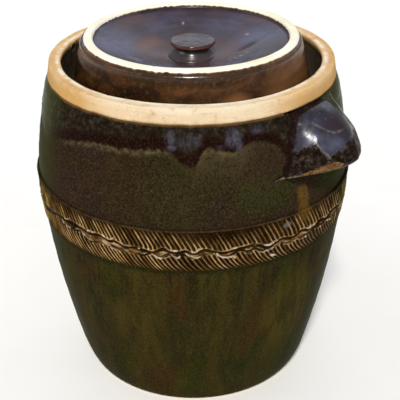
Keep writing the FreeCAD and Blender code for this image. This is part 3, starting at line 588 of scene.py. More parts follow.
def lid_paint(name, dished, specular):
    p = Paint(name)
    bare, side, dish = p.attr("bare"), p.attr("side"), p.attr("dish")
    patch = p.attr("patch")
    clouds = p.noise(30.0, 5.0, 0.6, bend=0.4)
    # dish: liver-brown, very glossy
    top = p.ramp(
        clouds,
        [(0.30, (0.0200, 0.0110, 0.0140)), (0.52, (0.0380, 0.0230, 0.0300)), (0.72, (0.0700, 0.0420, 0.0480))],
    )
    # painted sheen: bluish reflection in pools on the dish
    dish_sheen_and_left_skirt = p.math("MULTIPLY", p.attr("dish_sheen_and_left_skirt"), p.range(p.noise(34.0, 4.0, 0.6, shift=8.8, bend=0.8), 0.32, 0.62, 0.35, 1.0))
    top = p.mix(dish_sheen_and_left_skirt, top, (0.086, 0.094, 0.172))
    top = p.mix(p.math("MULTIPLY", patch, 0.95), top, (0.115, 0.053, 0.0360))
    top = p.mix(p.attr("slash"), top, (0.0130, 0.0055, 0.0020))
    top = p.mix(p.math("MULTIPLY", p.attr("arc"), p.range(clouds, 0.35, 0.6, 0.3, 1.0)), top, (0.300, 0.260, 0.240))
    # skirt: warmer brown with orange and olive smears
    smears = p.noise(1.0, 5.0, 0.6, vec=p.stretch(34, 34, 60), bend=0.8, shift=0.9)
    skirt = p.ramp(
        smears,
        [
            (0.30, (0.0180, 0.0100, 0.0045)),
            (0.45, (0.0400, 0.0180, 0.0085)),
            (0.58, (0.0800, 0.0360, 0.0150)),
            (0.72, (0.1500, 0.0620, 0.0250)),
        ],
    )
    skirt = p.mix(p.range(p.noise(24.0, 3.0, shift=5.0), 0.5, 0.65, 0.0, 0.6), skirt, (0.0420, 0.0300, 0.0090))
    skirt = p.mix(p.math("MULTIPLY", patch, 0.9), skirt, (0.230, 0.098, 0.0380))
    # the skirt is darker and more orange on the viewer's left
    skirt = p.mix(p.attr("dish_sheen_and_left_skirt"), skirt, p.mix(1.0, skirt, (0.60, 0.52, 0.34), "MULTIPLY"))
    mottle = p.noise(300.0, 3.0, 0.6)
    skirt = p.mix(p.range(mottle, 0.52, 0.74, 0.0, 0.45), skirt, (0.120, 0.070, 0.036))
    colour = p.mix(side, top, skirt)
    speck = p.noise(520.0, 1.5, 0.5, shift=3.3)
    colour = p.mix(p.range(speck, 0.74, 0.80, 0.0, 0.3), colour, (0.16, 0.12, 0.09))
    # bare ring
    grain = p.noise(1.0, 4.0, 0.6, vec=p.stretch(40, 40, 900))
    ring = p.ramp(
        p.noise(22.0, 4.0, 0.6, shift=9.0),
        [(0.30, (0.82, 0.75, 0.52)), (0.44, (0.90, 0.87, 0.70)), (0.62, (0.93, 0.92, 0.82))],
    )
    ring = p.mix(p.range(grain, 0.58, 0.8, 0.0, 0.20), ring, (0.60, 0.45, 0.24))
    sand = p.noise(1300.0, 2.0, 0.7)
    ring = p.mix(p.range(sand, 0.64, 0.76, 0.0, 0.4), ring, (0.45, 0.31, 0.15))
    wob = p.math("MULTIPLY", p.math("SUBTRACT", p.noise(160.0, 3.0, 0.6), 0.5), 0.03)
    edge = p.math("ADD", bare, wob)
    seam = p.math("MULTIPLY", p.range(edge, -0.10, 0.0), 0.8)
    colour = p.mix(seam, colour, (0.230, 0.120, 0.0480))
    naked = p.range(edge, -0.01, 0.05)
    colour = p.mix(naked, colour, ring)
    rough = p.blend(side, p.range(clouds, 0.3, 0.7, 0.22, 0.30), p.range(mottle, 0.3, 0.7, 0.18, 0.30))
    rough = p.blend(naked, rough, p.range(sand, 0.3, 0.7, 0.62, 0.78))
    turned = p.noise(1.0, 2.0, 0.5, vec=p.stretch(8, 8, 300), shift=0.4)
    relief = p.math("ADD", p.noise(60.0, 3.0, 0.45, shift=7.0), p.math("MULTIPLY", mottle, 0.05 if dished else 0.12))
    if dished:
        relief = p.math("MULTIPLY", relief, 0.4)
    relief = p.blend(naked, relief, p.math("ADD", p.math("MULTIPLY", sand, 0.3), p.math("MULTIPLY", turned, 0.2)))
    if specular == 0.42:
        rough = p.math("MULTIPLY", rough, 0.85)
    return p.finish(colour, rough, p.bump(relief, 0.0010, 0.7), specular=specular)


def knob_paint(name, specular, dull):
    p = Paint(name)
    clouds = p.noise(60.0, 4.0, 0.6)
    colour = p.ramp(
        clouds,
        [(0.30, (0.0160, 0.0100, 0.0110)), (0.52, (0.0300, 0.0190, 0.0200)), (0.72, (0.0560, 0.0330, 0.0270))],
    )
    rim = p.attr("rim")
    warm = p.math("MULTIPLY", rim, p.range(p.noise(80.0, 4.0, 0.6, shift=2.0), 0.35, 0.6, 0.3, 1.0))
    colour = p.mix(warm, colour, (0.130, 0.044, 0.0170))
    rough = p.range(p.noise(90.0, 3.0, shift=4.0), 0.3, 0.7, 0.14 + dull, 0.24 + dull)
    relief = p.noise(85.0, 3.0, 0.5, shift=1.0)
    return p.finish(colour, rough, p.bump(relief, 0.0005, 0.7), specular=specular)


def collar_paint():
    p = Paint("collar_glaze")
    clouds = p.noise(30.0, 5.0, 0.6)
    glaze = p.ramp(
        clouds,
        [(0.30, (0.0140, 0.0095, 0.0055)), (0.52, (0.0290, 0.0175, 0.0090)), (0.72, (0.0520, 0.0290, 0.0130))],
    )
    clay, height = bare_clay(p)
    top = p.math("ADD", p.attr("bare"), p.math("MULTIPLY", p.math("SUBTRACT", p.noise(120.0, 3.0), 0.5), 0.14))
    naked = p.range(top, -0.01, 0.06)
    colour = p.mix(p.math("MULTIPLY", p.range(top, -0.12, 0.0), 0.85), glaze, (0.22, 0.12, 0.045))
    colour = p.mix(naked, colour, clay)
    rough = p.blend(naked, p.range(clouds, 0.3, 0.7, 0.12, 0.22), 0.72)
    relief = p.blend(naked, p.noise(90.0, 4.0, 0.5), p.math("MULTIPLY", height, 0.6))
    return p.finish(colour, rough, p.bump(relief, 0.0006, 0.7), specular=0.4)


def weight_paint():
    p = Paint("weight_stoneware")
    clay, height = bare_clay(p)
    broad = p.noise(18.0, 4.0, 0.6, shift=6.0)
    colour = p.mix(p.range(broad, 0.35, 0.7, 0.25, 0.75), clay, (0.46, 0.34, 0.22))
    pits, _ = p.cells(260.0)
    colour = p.mix(p.range(pits, 0.22, 0.08, 0.0, 0.55), colour, (0.17, 0.11, 0.065))
    iron = p.noise(330.0, 2.0, 0.6, shift=3.0)
    colour = p.mix(p.range(iron, 0.66, 0.74, 0.0, 0.8), colour, (0.10, 0.050, 0.024))
    rough = p.range(broad, 0.3, 0.7, 0.66, 0.84)
    relief = p.math("ADD", p.math("MULTIPLY", height, 0.6), p.range(pits, 0.25, 0.05, 0.0, -0.9))
    return p.finish(colour, rough, p.bump(relief, 0.0008, 0.9), specular=0.25)


PAINT = {
    "pot": pot_paint(),
    "inside": dark_glaze("inside_glaze"),
    "foot": foot_paint(),
    "band": band_paint(),
    "handle": handle_paint("handle_glaze", 0.45),
    "handle_low": handle_paint("handle_dull_glaze", 0.03),
    "dish": lid_paint("lid_dish", True, 0.24),
    "lid": lid_paint("lid_side", False, 0.10),
    "roll": lid_paint("lid_roll", False, 0.42),
    "knob": knob_paint("knob_glaze", 0.45, 0.0),
    "knob_neck": knob_paint("knob_neck_glaze", 0.95, 0.09),
    "collar": collar_paint(),
    "weight": weight_paint(),
}


# ---------------------------------------------------------------------- pot
SEG = 480


def wobble(angle, z):
    """How far the thrown wall leaves a true circle, in millimetres."""
    return 0.42 * waves(angle, z, 11, 24, (2, 5), (0.0, 0.02))


def turning(angle, z):
    """The faint rings left by the fingers on the wheel."""
    spiral = np.cos(2 * math.pi * z / 7.9 + angle + 1.1 * waves(angle, z, 5, 20, (1, 4), (0.0, 0.06)))
    coarse = np.cos(2 * math.pi * z / 21.0 - 2 * angle + 0.7)
    return 0.085 * spiral + 0.11 * coarse


# Lower edge of the dark glaze run, as azimuth from the facing side and height.
RUN = [
    (-64.4, 240.7), (-54.3, 247.6), (-45.2, 252.8), (-37.8, 256.7), (-31.1, 257.9), (-25.1, 258.2),
    (-19.5, 259.0), (-14.1, 260.4), (-8.9, 260.1), (-6.5, 258.9), (-4.5, 253.8), (-2.8, 249.2),
    (-0.5, 247.8), (1.5, 249.2), (2.8, 255.2), (3.9, 260.5), (6.3, 261.7), (9.7, 260.5),
    (12.4, 258.4), (14.1, 257.2), (15.2, 257.7), (16.6, 258.8), (18.5, 261.3), (20.4, 262.9),
    (24.9, 262.7), (28.7, 259.5), (31.8, 254.0), (33.2, 246.9), (34.7, 242.6), (36.5, 243.6),
    (45.0, 240.0), (60.0, 238.0), (72.0, 243.0), (80.0, 250.0),
]


def run_edge(azimuth):
    """Height of the lower edge of the dark run all round."""
    rng = np.random.default_rng(41)
    known = np.array(RUN)
    a = np.radians(azimuth)
    rest = 255.0 + 3.4 * waves(a, 0.0, 21, 30, (2, 11), (0, 0))
    for at in np.arange(84.0, 292.0, 11.5):
        at = at + rng.uniform(-4, 4)
        wide, deep = rng.uniform(2.0, 4.6), rng.uniform(1.5, 14.0) * rng.choice([1, 1, 0.3])
        d = (azimuth - at + 180.0) % 360.0 - 180.0
        rest -= deep * np.exp(-((np.abs(d) / wide) ** 2.6))
    inside = np.interp(azimuth, known[:, 0], known[:, 1])
    share = step_up(azimuth, -86.0, -64.0) * (1 - step_up(azimuth, 76.0, 92.0))
    return rest * (1 - share) + inside * share


def blue_patch_at(azimuth, z):
    """Bluish patches on the wall, 0 to 1."""
    rng = np.random.default_rng(8)
    spots = [
        (-7.2, 2.1, 269.0, 9.5, 0.85), (-6.7, 2.2, 262.0, 2.6, 0.9), (14.6, 4.2, 268.5, 8.5, 1.0),
        (16.2, 2.0, 262.0, 6.0, 0.9), (24.5, 4.6, 272.2, 3.6, 0.8), (-0.8, 5.6, 267.5, 7.0, 0.5),
        (10.5, 2.4, 261.5, 2.4, 0.5), (35.5, 2.4, 243.0, 8.0, 0.55),
    ]
    for at in np.arange(88.0, 290.0, 15.0):
        spots.append(
            (at + rng.uniform(-6, 6), rng.uniform(1.8, 5.0), rng.uniform(262, 272), rng.uniform(3, 9), rng.uniform(0.3, 0.95))
        )
    out = np.zeros(np.broadcast(azimuth, z).shape)
    for at, wide, height, tall, strong in spots:
        out = np.maximum(out, strong * blob(azimuth, z, at, wide, height, tall, 2.2))
    return out


def smear_at(azimuth, z):
    """The ochre streak that runs down beside the handle into the band."""
    side = 1 - step_up(np.abs(azimuth - 40.7 + 0.03 * (z - 205)), 0.2, 4.9)
    ends = step_up(z, 178.0, 196.0) * (1 - step_up(z, 213.0, 226.0))
    other = 1 - step_up(np.abs(azimuth + 151.0), 1.2, 3.0)
    other = other * step_up(z, 190.0, 200.0) * (1 - step_up(z, 222.0, 232.0))
    return np.maximum(side * ends, 0.7 * other)


def olive_reflection_at(azimuth, z):
    """How strongly a painted olive reflection lies on the two flanks."""
    return step_up(np.abs(azimuth), 48.0, 80.0) * (1 - 0.8 * step_up(np.abs(azimuth), 100.0, 135.0))


# Green tint with painted light, 0 to 1: a painted green reflection on the left flank, a random green tint, a painted
# shadow under the right handle, and a green patch beside it.
def green_and_shade_at(azimuth, z):
    left = step_up(-azimuth, 52.0, 78.0) * (1 - step_up(-azimuth, 105.0, 140.0))
    soft = 0.35 * step_up(waves(np.radians(azimuth), z, 31, 24, (1, 5), (0.0, 0.03)), 0.15, 0.8)
    shade = 0.95 * blob(azimuth, z, 60.0, 19.0, 214.0, 17.0)
    beside = 0.55 * blob(azimuth, z, 26.0, 19.0, 221.0, 25.0)
    return np.clip(np.maximum(np.maximum(left, soft), np.maximum(shade, beside)), 0, 1)


def chips(azimuth, z, r):
    """Small dents in the rim, in millimetres."""
    out = np.zeros(np.broadcast(azimuth, z).shape)
    for at, wide, height, tall, deep in (
        (-108.5, 2.2, 285.5, 3.4, 1.3), (-105.0, 1.2, 289.5, 2.0, 0.7), (-112.5, 1.3, 288.0, 2.2, 0.6),
        (63.0, 1.3, 290.0, 2.0, 0.6), (150.0, 1.8, 288.0, 2.6, 0.9), (-35.0, 0.9, 290.5, 1.4, 0.35),
    ):
        out += deep * blob(azimuth, z, at, wide, height, tall, 2.0)
    return out * (r > 109.0)


def pot_shell():
    outside = [
        (0.8, 0), (98.0, 0), (101.9, 3.0), (108.4, 18.3), (133.2, 151.3), (132.4, 233.8), (125.1, 271.3),
        (122.4, 277.6), (121.7, 278.4), (122.6, 279.2), (120.9, 289.7), (119.1, 291.5),
    ]
    inside = [
        (111.8, 291.5), (110.0, 289.7), (110.8, 255.0), (105.8, 250.0), (78.0, 250.0), (78.0, 241.0),
        (108.0, 238.0), (121.5, 226.0), (122.2, 151.3), (97.6, 22.0), (90.0, 12.0), (0.8, 12.0),
    ]
    bows = {
        2: (70.0, 1), 3: (847.0, 1), 4: (246.6, 1), 5: (521.0, 1), 10: (1.8, 1), 12: (1.8, 1),
        14: (5.0, -1), 18: (13.0, -1), 19: (208.0, -1), 20: (700.0, -1), 21: (9.0, -1),
    }
    line = smoothed(dense_line(outside + inside, bows), 0.35, False)

    def ask(r, z):
        w = np.where(z < 0.4, 0.22, 1.0)
        w = np.where((z > 236) & (r > 104) & (z < 276), 1.5, w)
        w = np.where((z >= 276) & (r > 104), 3.2, w)
        w = np.where((r < 122.5) & (z < 249) & (z > 5), 0.45, w)
        return w

    sec = resampled(line, 192, False, 1.6, ask)
    nrm = normals_of(sec, False)
    rows = len(sec)
    angle = np.arange(SEG) * 2 * math.pi / SEG
    A, Z = np.meshgrid(angle, sec[:, 1])
    R = np.repeat(sec[:, :1], SEG, 1)
    az = azimuth_of(A)
    outer = np.zeros(rows)
    low_edge = int(np.argmax(sec[:, 1] > 2.0))
    top = int(np.argmax(sec[:, 1]))
    outer[low_edge : top + 1] = 1.0
    outer = outer[:, None] * step_up(Z, 0.5, 12.0)
    run = Z - run_edge(az)
    push = outer * (turning(A, Z) * (Z < 276) + wobble(A, Z))
    glaze = 0.30 * step_up(run, -0.3, 1.5) + 0.24 * np.exp(-(((run - 1.5) / 1.3) ** 2))
    push += outer * glaze * (1 - step_up(Z, 274.0, 278.5))
    push += outer * 0.20 * blue_patch_at(az, Z)
    inner = (np.arange(rows) > top)[:, None] * 1.0
    push += inner * (Z > 249) * 0.25 * waves(A, Z, 51, 20, (2, 7), (0.0, 0.05))
    below = inner * (Z < 240) * step_up(R, 20.0, 80.0)
    push += below * 0.5 * np.cos(2 * math.pi * Z / 13.0 + A + 0.6 * waves(A, Z, 52, 20))
    floor = inner * (Z < 14) * (R < 88)
    push += floor * 0.35 * np.cos(2 * math.pi * R / 11.0 + A) * step_up(R, 4, 20)
    push -= chips(az, Z, R) * ((Z > 279) & (R > 109))
    rim = (Z > 279.0) & (R > 109)
    push += rim * 0.18 * waves(A, Z, 61, 40, (3, 30), (0.0, 0.3), 0.3)
    X = R + push * nrm[:, :1]
    H = Z + push * nrm[:, 1:]
    verts = np.stack([X * np.cos(A), X * np.sin(A), H], -1).reshape(-1, 3)
    verts = np.concatenate([verts, [[0, 0, 0.0], [0, 0, 12.0]]])
    faces = grid_faces(rows, SEG).tolist()
    slots = np.zeros((rows - 1, SEG), int)
    mid_z = (sec[1:, 1] + sec[:-1, 1]) / 2
    mid_r = (sec[1:, 0] + sec[:-1, 0]) / 2
    order = np.arange(rows - 1)
    slots[(order >= top) & (mid_z < 285.0)] = 1
    slots[(order < top) & (mid_z < 2.4)] = 2
    slots = slots.reshape(-1).tolist()
    last = (rows - 1) * SEG
    for c in range(SEG):
        d = (c + 1) % SEG
        faces.append([rows * SEG, d, c])
        slots.append(2)
        faces.append([rows * SEG + 1, last + c, last + d])
        slots.append(1)
    uneven = waves(A, Z * 0, 71, 60, (3, 60), (0, 0), 0.6)
    lip = np.where(
        (np.arange(rows) <= top)[:, None], Z - 278.9 - 0.45 * uneven, np.where(R > 109, Z - 287.4 - 0.5 * uneven, -9.0)
    )
    face = (1 - step_up(Z, 285.5, 289.6)) * (np.arange(rows) <= top)[:, None]
    # painted light: the bare rim is paler cream on the front that faces the key light, fading out towards the sides
    painted_front_light = 1 - step_up(np.abs(az + 1.0), 14.0, 52.0)
    painted_front_light = np.clip(painted_front_light + 0.22 * waves(A, Z, 72, 40, (2, 14), (0.0, 0.1)), 0, 1)
    # painted highlight along the inner top edge of the rim
    rim_glint = step_up(Z, 290.3, 291.3) * np.exp(-(((R - 113.2) / 1.9) ** 2)) * (R > 109)
    # where the painted highlight along the run's lower edge shows
    fringe = step_up(az, -56.0, -44.0) * (1 - step_up(az, -12.0, -5.0))
    fringe = np.maximum(fringe, 0.90 * step_up(az, 1.0, 5.0) * (1 - step_up(az, 12.0, 19.0)))
    fringe = np.maximum(fringe, 0.12 + 0.5 * step_up(np.abs(az), 70.0, 90.0) * step_up(waves(A, 0.0, 73, 30, (2, 9), (0, 0), 0.2), -0.1, 0.6))

    def flat(values):
        values = np.broadcast_to(values, A.shape).reshape(-1)
        return np.concatenate([values, values[-2:] * 0])

    return mesh_object(
        "pot_shell", verts, faces, "crock", [PAINT["pot"], PAINT["inside"], PAINT["foot"]], slots,
        {
            "run": flat(np.clip(run, -40, 40) / 10.0),
            "lip": flat(np.clip(lip, -40, 40) / 10.0),
            "blue_patch": flat(blue_patch_at(az, Z)),
            "smear": flat(smear_at(az, Z)),
            "painted_front_light": flat(painted_front_light),
            "rim_glint": flat(rim_glint),
            "face": flat(face),
            "fringe": flat(fringe),
            "flank": flat(olive_reflection_at(az, 0.0)),
            "haze": flat(step_up(az, -1.0, 4.0) * (1 - step_up(az, 15.0, 26.0))),
            "ochre": flat(0.85 * blob(az, Z, 40.0, 17.0, 95.0, 62.0)),
            "green_and_shade": flat(green_and_shade_at(az, Z)),
        },
    )


# --------------------------------------------------------------------- band
RIBS = 216
# where the columns of the mesh stand within one rib, closer together on the ridge
RIB_PARTS = (0.0, 0.2, 0.37, 0.5, 0.63, 0.8)


def wall_radius(z):
    """Radius of the plain wall at a height between the heel and the rim."""
    z = np.asarray(z, float)

    def arc(a, b, radius):
        a, b = np.array(a), np.array(b)
        d = b - a
        chord = np.hypot(*d)
        right = np.array([d[1], -d[0]]) / chord
        c = (a + b) / 2 - right * math.sqrt(radius * radius - chord * chord / 4)
        return c[0] + np.sqrt(np.maximum(radius * radius - (z - c[1]) ** 2, 0))

    belly = arc((133.2, 151.3), (132.4, 233.8), 246.6)
    neck = arc((132.4, 233.8), (125.1, 271.3), 521.0)
    top = 125.1 + (z - 271.3) / (279.2 - 271.3) * (122.6 - 125.1)
    low = arc((108.4, 18.3), (133.2, 151.3), 847.0)
    return np.where(z < 151.3, low, np.where(z <= 233.8, belly, np.where(z <= 271.3, neck, top)))


# The two pressed strands of the chain, as azimuth from the facing side and height.
STRAND_A = [
    (-65.9, 172.7), (-59.7, 176.6), (-55.3, 179.7), (-51.7, 181.2), (-49.3, 179.9), (-46.9, 181.4),
    (-44.6, 181.8), (-42.5, 181.8), (-40.6, 181.3), (-38.7, 180.1), (-36.9, 179.3), (-34.6, 180.8),
    (-32.5, 181.4), (-30.9, 180.2), (-29.3, 178.5), (-27.7, 179.1), (-26.2, 179.8), (-24.7, 178.4),
    (-23.3, 176.9), (-21.8, 176.9), (-20.0, 177.9), (-17.5, 177.4), (-15.1, 176.2), (-13.4, 175.6),
    (-11.7, 177.4), (-10.0, 179.8), (-8.7, 179.5), (-7.4, 177.4), (-5.7, 176.9), (-4.1, 177.3),
    (-2.8, 179.0), (-1.5, 178.1), (-0.2, 175.8), (1.1, 175.7), (2.4, 178.0), (3.7, 179.4), (5.0, 178.9),
    (6.3, 177.7), (7.6, 176.5), (9.0, 175.6), (10.3, 175.1), (11.6, 175.6), (13.0, 176.6), (14.3, 177.2),
    (15.7, 177.8), (17.8, 178.2), (19.2, 178.1), (20.6, 178.2), (21.7, 178.0), (22.8, 176.8),
    (24.3, 174.5), (25.9, 173.2), (27.4, 173.4), (28.9, 175.3), (30.4, 177.3), (31.7, 177.3),
    (33.4, 176.2), (35.1, 175.0), (36.9, 175.1), (38.2, 176.4), (39.6, 177.9), (41.0, 177.6),
    (43.2, 175.2), (44.7, 175.4),
]
STRAND_B = [
    (-53.2, 180.1), (-50.7, 177.5), (-48.4, 175.8), (-46.1, 175.5), (-43.3, 176.9), (-41.7, 178.0),
    (-40.2, 178.3), (-39.1, 173.9), (-37.3, 172.6), (-35.5, 172.7), (-33.7, 173.6), (-31.5, 175.2),
    (-30.0, 173.6), (-28.6, 175.7), (-27.5, 175.0), (-26.0, 173.7), (-24.6, 172.6), (-23.4, 172.9),
    (-21.9, 173.0), (-20.1, 173.3), (-18.4, 172.2), (-16.6, 172.4), (-14.8, 174.3), (-13.4, 174.8),
    (-12.5, 172.7), (-11.5, 171.5), (-10.1, 172.1), (-8.8, 174.2), (-7.4, 175.8), (-6.5, 173.8),
    (-5.5, 172.3), (-4.1, 173.7), (-3.1, 175.9), (-1.9, 173.6), (-0.6, 172.4), (0.8, 172.0), (2.1, 172.9),
    (2.7, 176.8), (4.4, 175.8), (6.0, 175.3), (7.3, 175.4), (8.3, 174.4), (9.7, 172.1), (11.4, 171.3),
    (13.0, 171.9), (15.0, 176.0), (16.7, 175.4), (18.2, 174.0), (19.6, 174.2), (20.6, 175.7),
    (22.1, 173.3), (23.7, 171.2), (25.2, 170.7), (26.3, 172.2), (27.5, 172.5), (28.7, 171.5),
    (29.8, 173.2), (30.9, 174.5), (32.7, 172.2), (34.5, 170.9), (35.8, 170.9), (37.6, 172.1),
    (39.5, 171.2), (41.4, 171.4), (43.5, 171.2),
]
# Raised rolls of clay beside the strands, with a painted highlight on them: how bright that painted highlight is, then
# where they run.
ROLLS = [
    (0.55, [(-49.8, 181.3), (-47.9, 183.0), (-46.6, 185.5)]),
    (0.70, [(-41.9, 183.8), (-40.5, 182.3)]),
    (0.80, [(-37.7, 182.0), (-36.3, 182.6), (-35.5, 181.9), (-34.5, 183.1)]),
    (0.75, [(-31.2, 182.8), (-30.5, 181.0), (-29.3, 179.9), (-27.2, 182.7)]),
    (0.60, [(-23.9, 180.1), (-23.2, 178.1), (-21.7, 179.4)]),
    (0.90, [(-18.2, 177.8), (-17.9, 177.5)]),
    (0.90, [(-14.7, 179.2), (-14.4, 178.9)]),
    (1.00, [(-8.5, 180.6), (-7.9, 179.4), (-7.0, 178.5), (-6.1, 178.8), (-5.1, 179.3)]),
    (0.70, [(-0.5, 178.4), (0.4, 177.5), (1.4, 178.7), (2.1, 180.3), (3.1, 181.0)]),
    (1.00, [(11.9, 177.4), (12.6, 178.1), (13.6, 178.8), (14.6, 179.1)]),
    (0.70, [(20.6, 177.7), (21.7, 178.4), (22.9, 178.9)]),
    (0.80, [(24.3, 176.8), (25.4, 175.5), (26.9, 175.4), (27.9, 176.7), (28.8, 177.9), (29.6, 178.2)]),
    (0.60, [(39.2, 175.5), (40.6, 175.5), (42.2, 174.3)]),
    (0.70, [(41.9, 179.0), (43.0, 177.3), (44.1, 177.3), (44.3, 179.2)]),
    (0.70, [(-51.9, 178.6), (-50.8, 176.5), (-49.0, 175.4), (-47.3, 175.5)]),
    (0.80, [(-44.3, 177.3), (-42.6, 179.5), (-41.2, 178.8), (-39.9, 176.2), (-38.6, 174.4), (-37.3, 173.5), (-35.9, 173.7)]),
    (0.80, [(-31.4, 177.0), (-30.7, 175.2), (-29.5, 174.3), (-28.7, 175.1)]),
    (0.70, [(-28.4, 173.4), (-27.3, 172.1), (-26.1, 172.0), (-25.0, 171.3)]),
    (0.60, [(-24.1, 173.9), (-23.0, 173.7), (-22.1, 173.4)]),
    (0.70, [(-23.0, 174.3), (-21.9, 173.9)]),
    (0.60, [(-17.6, 173.3), (-16.2, 173.7), (-15.1, 175.4)]),
    (0.95, [(-13.5, 174.2), (-12.5, 173.0), (-11.8, 171.4), (-10.8, 170.7), (-10.2, 171.0)]),
    (0.75, [(-10.2, 170.8), (-9.2, 171.1), (-8.1, 172.5), (-7.6, 173.5)]),
    (0.85, [(-7.1, 175.3), (-6.5, 173.6), (-5.5, 172.3), (-4.8, 171.6), (-4.3, 173.5)]),
    (0.80, [(-0.5, 174.0), (0.4, 172.6), (1.4, 172.3), (2.4, 173.0)]),
    (1.00, [(8.0, 174.9), (9.0, 172.5), (10.0, 171.4), (11.4, 170.6), (12.7, 170.8), (13.7, 171.0), (14.3, 168.9)]),
    (0.60, [(17.1, 173.1), (18.6, 171.1), (19.7, 171.0), (20.7, 171.7)]),
    (0.70, [(21.4, 173.3), (22.6, 171.2), (23.7, 169.8), (24.9, 169.5)]),
    (0.80, [(25.2, 170.4), (26.4, 169.9), (27.5, 171.0), (28.1, 171.6)]),
    (0.80, [(28.6, 173.0), (29.7, 174.1), (30.7, 174.4)]),
    (0.60, [(32.3, 171.6), (33.7, 170.0), (35.0, 169.9)]),
    (0.65, [(35.8, 171.5), (37.2, 170.9), (38.0, 172.1), (39.6, 169.5), (41.1, 169.5), (42.6, 170.1)]),
    (0.70, [(-9.7, 177.4), (-9.0, 176.6), (-8.4, 177.1)]),
    (0.50, [(-10.7, 176.8), (-9.7, 177.6)]),
    (0.45, [(-34.8, 175.8), (-33.1, 177.3), (-31.8, 177.6)]),
    (0.75, [(-27.4, 177.9), (-25.9, 177.7), (-24.4, 176.4)]),
    (0.90, [(-2.2, 176.9), (-1.5, 174.8), (-1.2, 174.4)]),
    (0.60, [(4.0, 177.5), (5.0, 176.3), (6.0, 175.9)]),
    (0.70, [(6.7, 175.5), (7.3, 175.6)]),
    (0.80, [(17.8, 175.9), (18.9, 175.2), (19.9, 176.3)]),
    (0.60, [(22.1, 175.5), (23.2, 174.3), (24.4, 171.8)]),
    (0.55, [(31.3, 175.0), (32.6, 173.5), (34.4, 172.4)]),
    (1.20, [(27.4, 164.9), (28.3, 163.7), (29.1, 163.2)]),
    (0.60, [(-3.5, 177.6), (-2.8, 177.1)]),
]


def round_trip(points):
    """A closed line round the pot, ready to interpolate."""
    at = np.array([p[0] % 360.0 for p in points])
    z = np.array([p[1] for p in points])
    order = np.argsort(at)
    at, z = at[order], z[order]
    return np.concatenate([at[-3:] - 360, at, at[:3] + 360]), np.concatenate([z[-3:], z, z[:3]])


def height_on(line, azimuth):
    """Smooth height of such a line at an azimuth."""
    fine = np.arange(-8.0, 368.0, 0.25)
    level = np.interp(fine, *line)
    k = np.exp(-0.5 * (np.arange(-8, 9) * 0.25 / 0.45) ** 2)
    level = np.convolve(np.pad(level, 8, "edge"), k / k.sum(), "valid")
    return np.interp(np.asarray(azimuth) % 360.0, fine, level)


def middle_at(azimuth):
    return float(np.interp((azimuth + 180) % 360 - 180, [-180, -110, -66, 51, 70, 120, 180], [177.0, 178.2, 177.5, 176.0, 176.6, 175.6, 177.0]))


def chain_lines():
    """Both strands all round, and the raised rolls that lie beside them."""
    rng = np.random.default_rng(29)
    a, b, rolls = list(STRAND_A), list(STRAND_B), [(s, list(p)) for s, p in ROLLS]
    at, end = 46.5, 360.0 - 67.0
    while end - at > 6.0:
        long = rng.uniform(6.5, 12.0)
        if end - at - long < 6.0:
            long = end - at
        up, down = rng.uniform(1.6, 3.2), rng.uniform(2.4, 4.4)
        m = middle_at(at + long / 2)
        a += [(at, m - 0.2), (at + 0.35 * long, m + up), (at + 0.62 * long, m + 0.7 * up)]
        b += [(at + 0.12 * long, m - 1.0), (at + 0.40 * long, m - down), (at + 0.72 * long, m - 0.8 * down)]
        bright = rng.uniform(0.5, 1.0)
        low = [(at + t * long, m - 1.3 - down * math.sin(math.pi * min(t * 1.1, 1.0)) ** 0.8) for t in (0.12, 0.3, 0.45, 0.6, 0.8)]
        rolls.append((bright, low[: int(rng.integers(3, 6))]))
        if rng.uniform() < 0.75:
            rolls.append((rng.uniform(0.5, 1.0), [(at + t * long, m + 1.5 + 0.6 * abs(t) * 6) for t in (-0.16, -0.05, 0.06, 0.16)]))
        if rng.uniform() < 0.6:
            start = rng.uniform(0.35, 0.6)
            rolls.append((rng.uniform(0.4, 0.8), [(at + (start + t) * long, m + 0.4 - 4.0 * t) for t in (0.0, 0.12, 0.25)]))
        at += long
    return round_trip(a), round_trip(b), rolls


def near_line(azimuth, z, points):
    """Distance in millimetres to a short line on the band."""
    per = 137.3 * math.pi / 180.0
    middle = points[len(points) // 2][0]
    x = ((azimuth - middle + 180.0) % 360.0 - 180.0) * per
    near = np.full(x.shape, 99.0)
    for (a0, z0), (a1, z1) in zip(points[:-1], points[1:]):
        ax, bx = (a0 - middle) * per, (a1 - middle) * per
        dx, dz = bx - ax, z1 - z0
        t = np.clip(((x - ax) * dx + (z - z0) * dz) / max(dx * dx + dz * dz, 1e-6), 0, 1)
        near = np.minimum(near, np.hypot(x - ax - t * dx, z - z0 - t * dz))
    return near


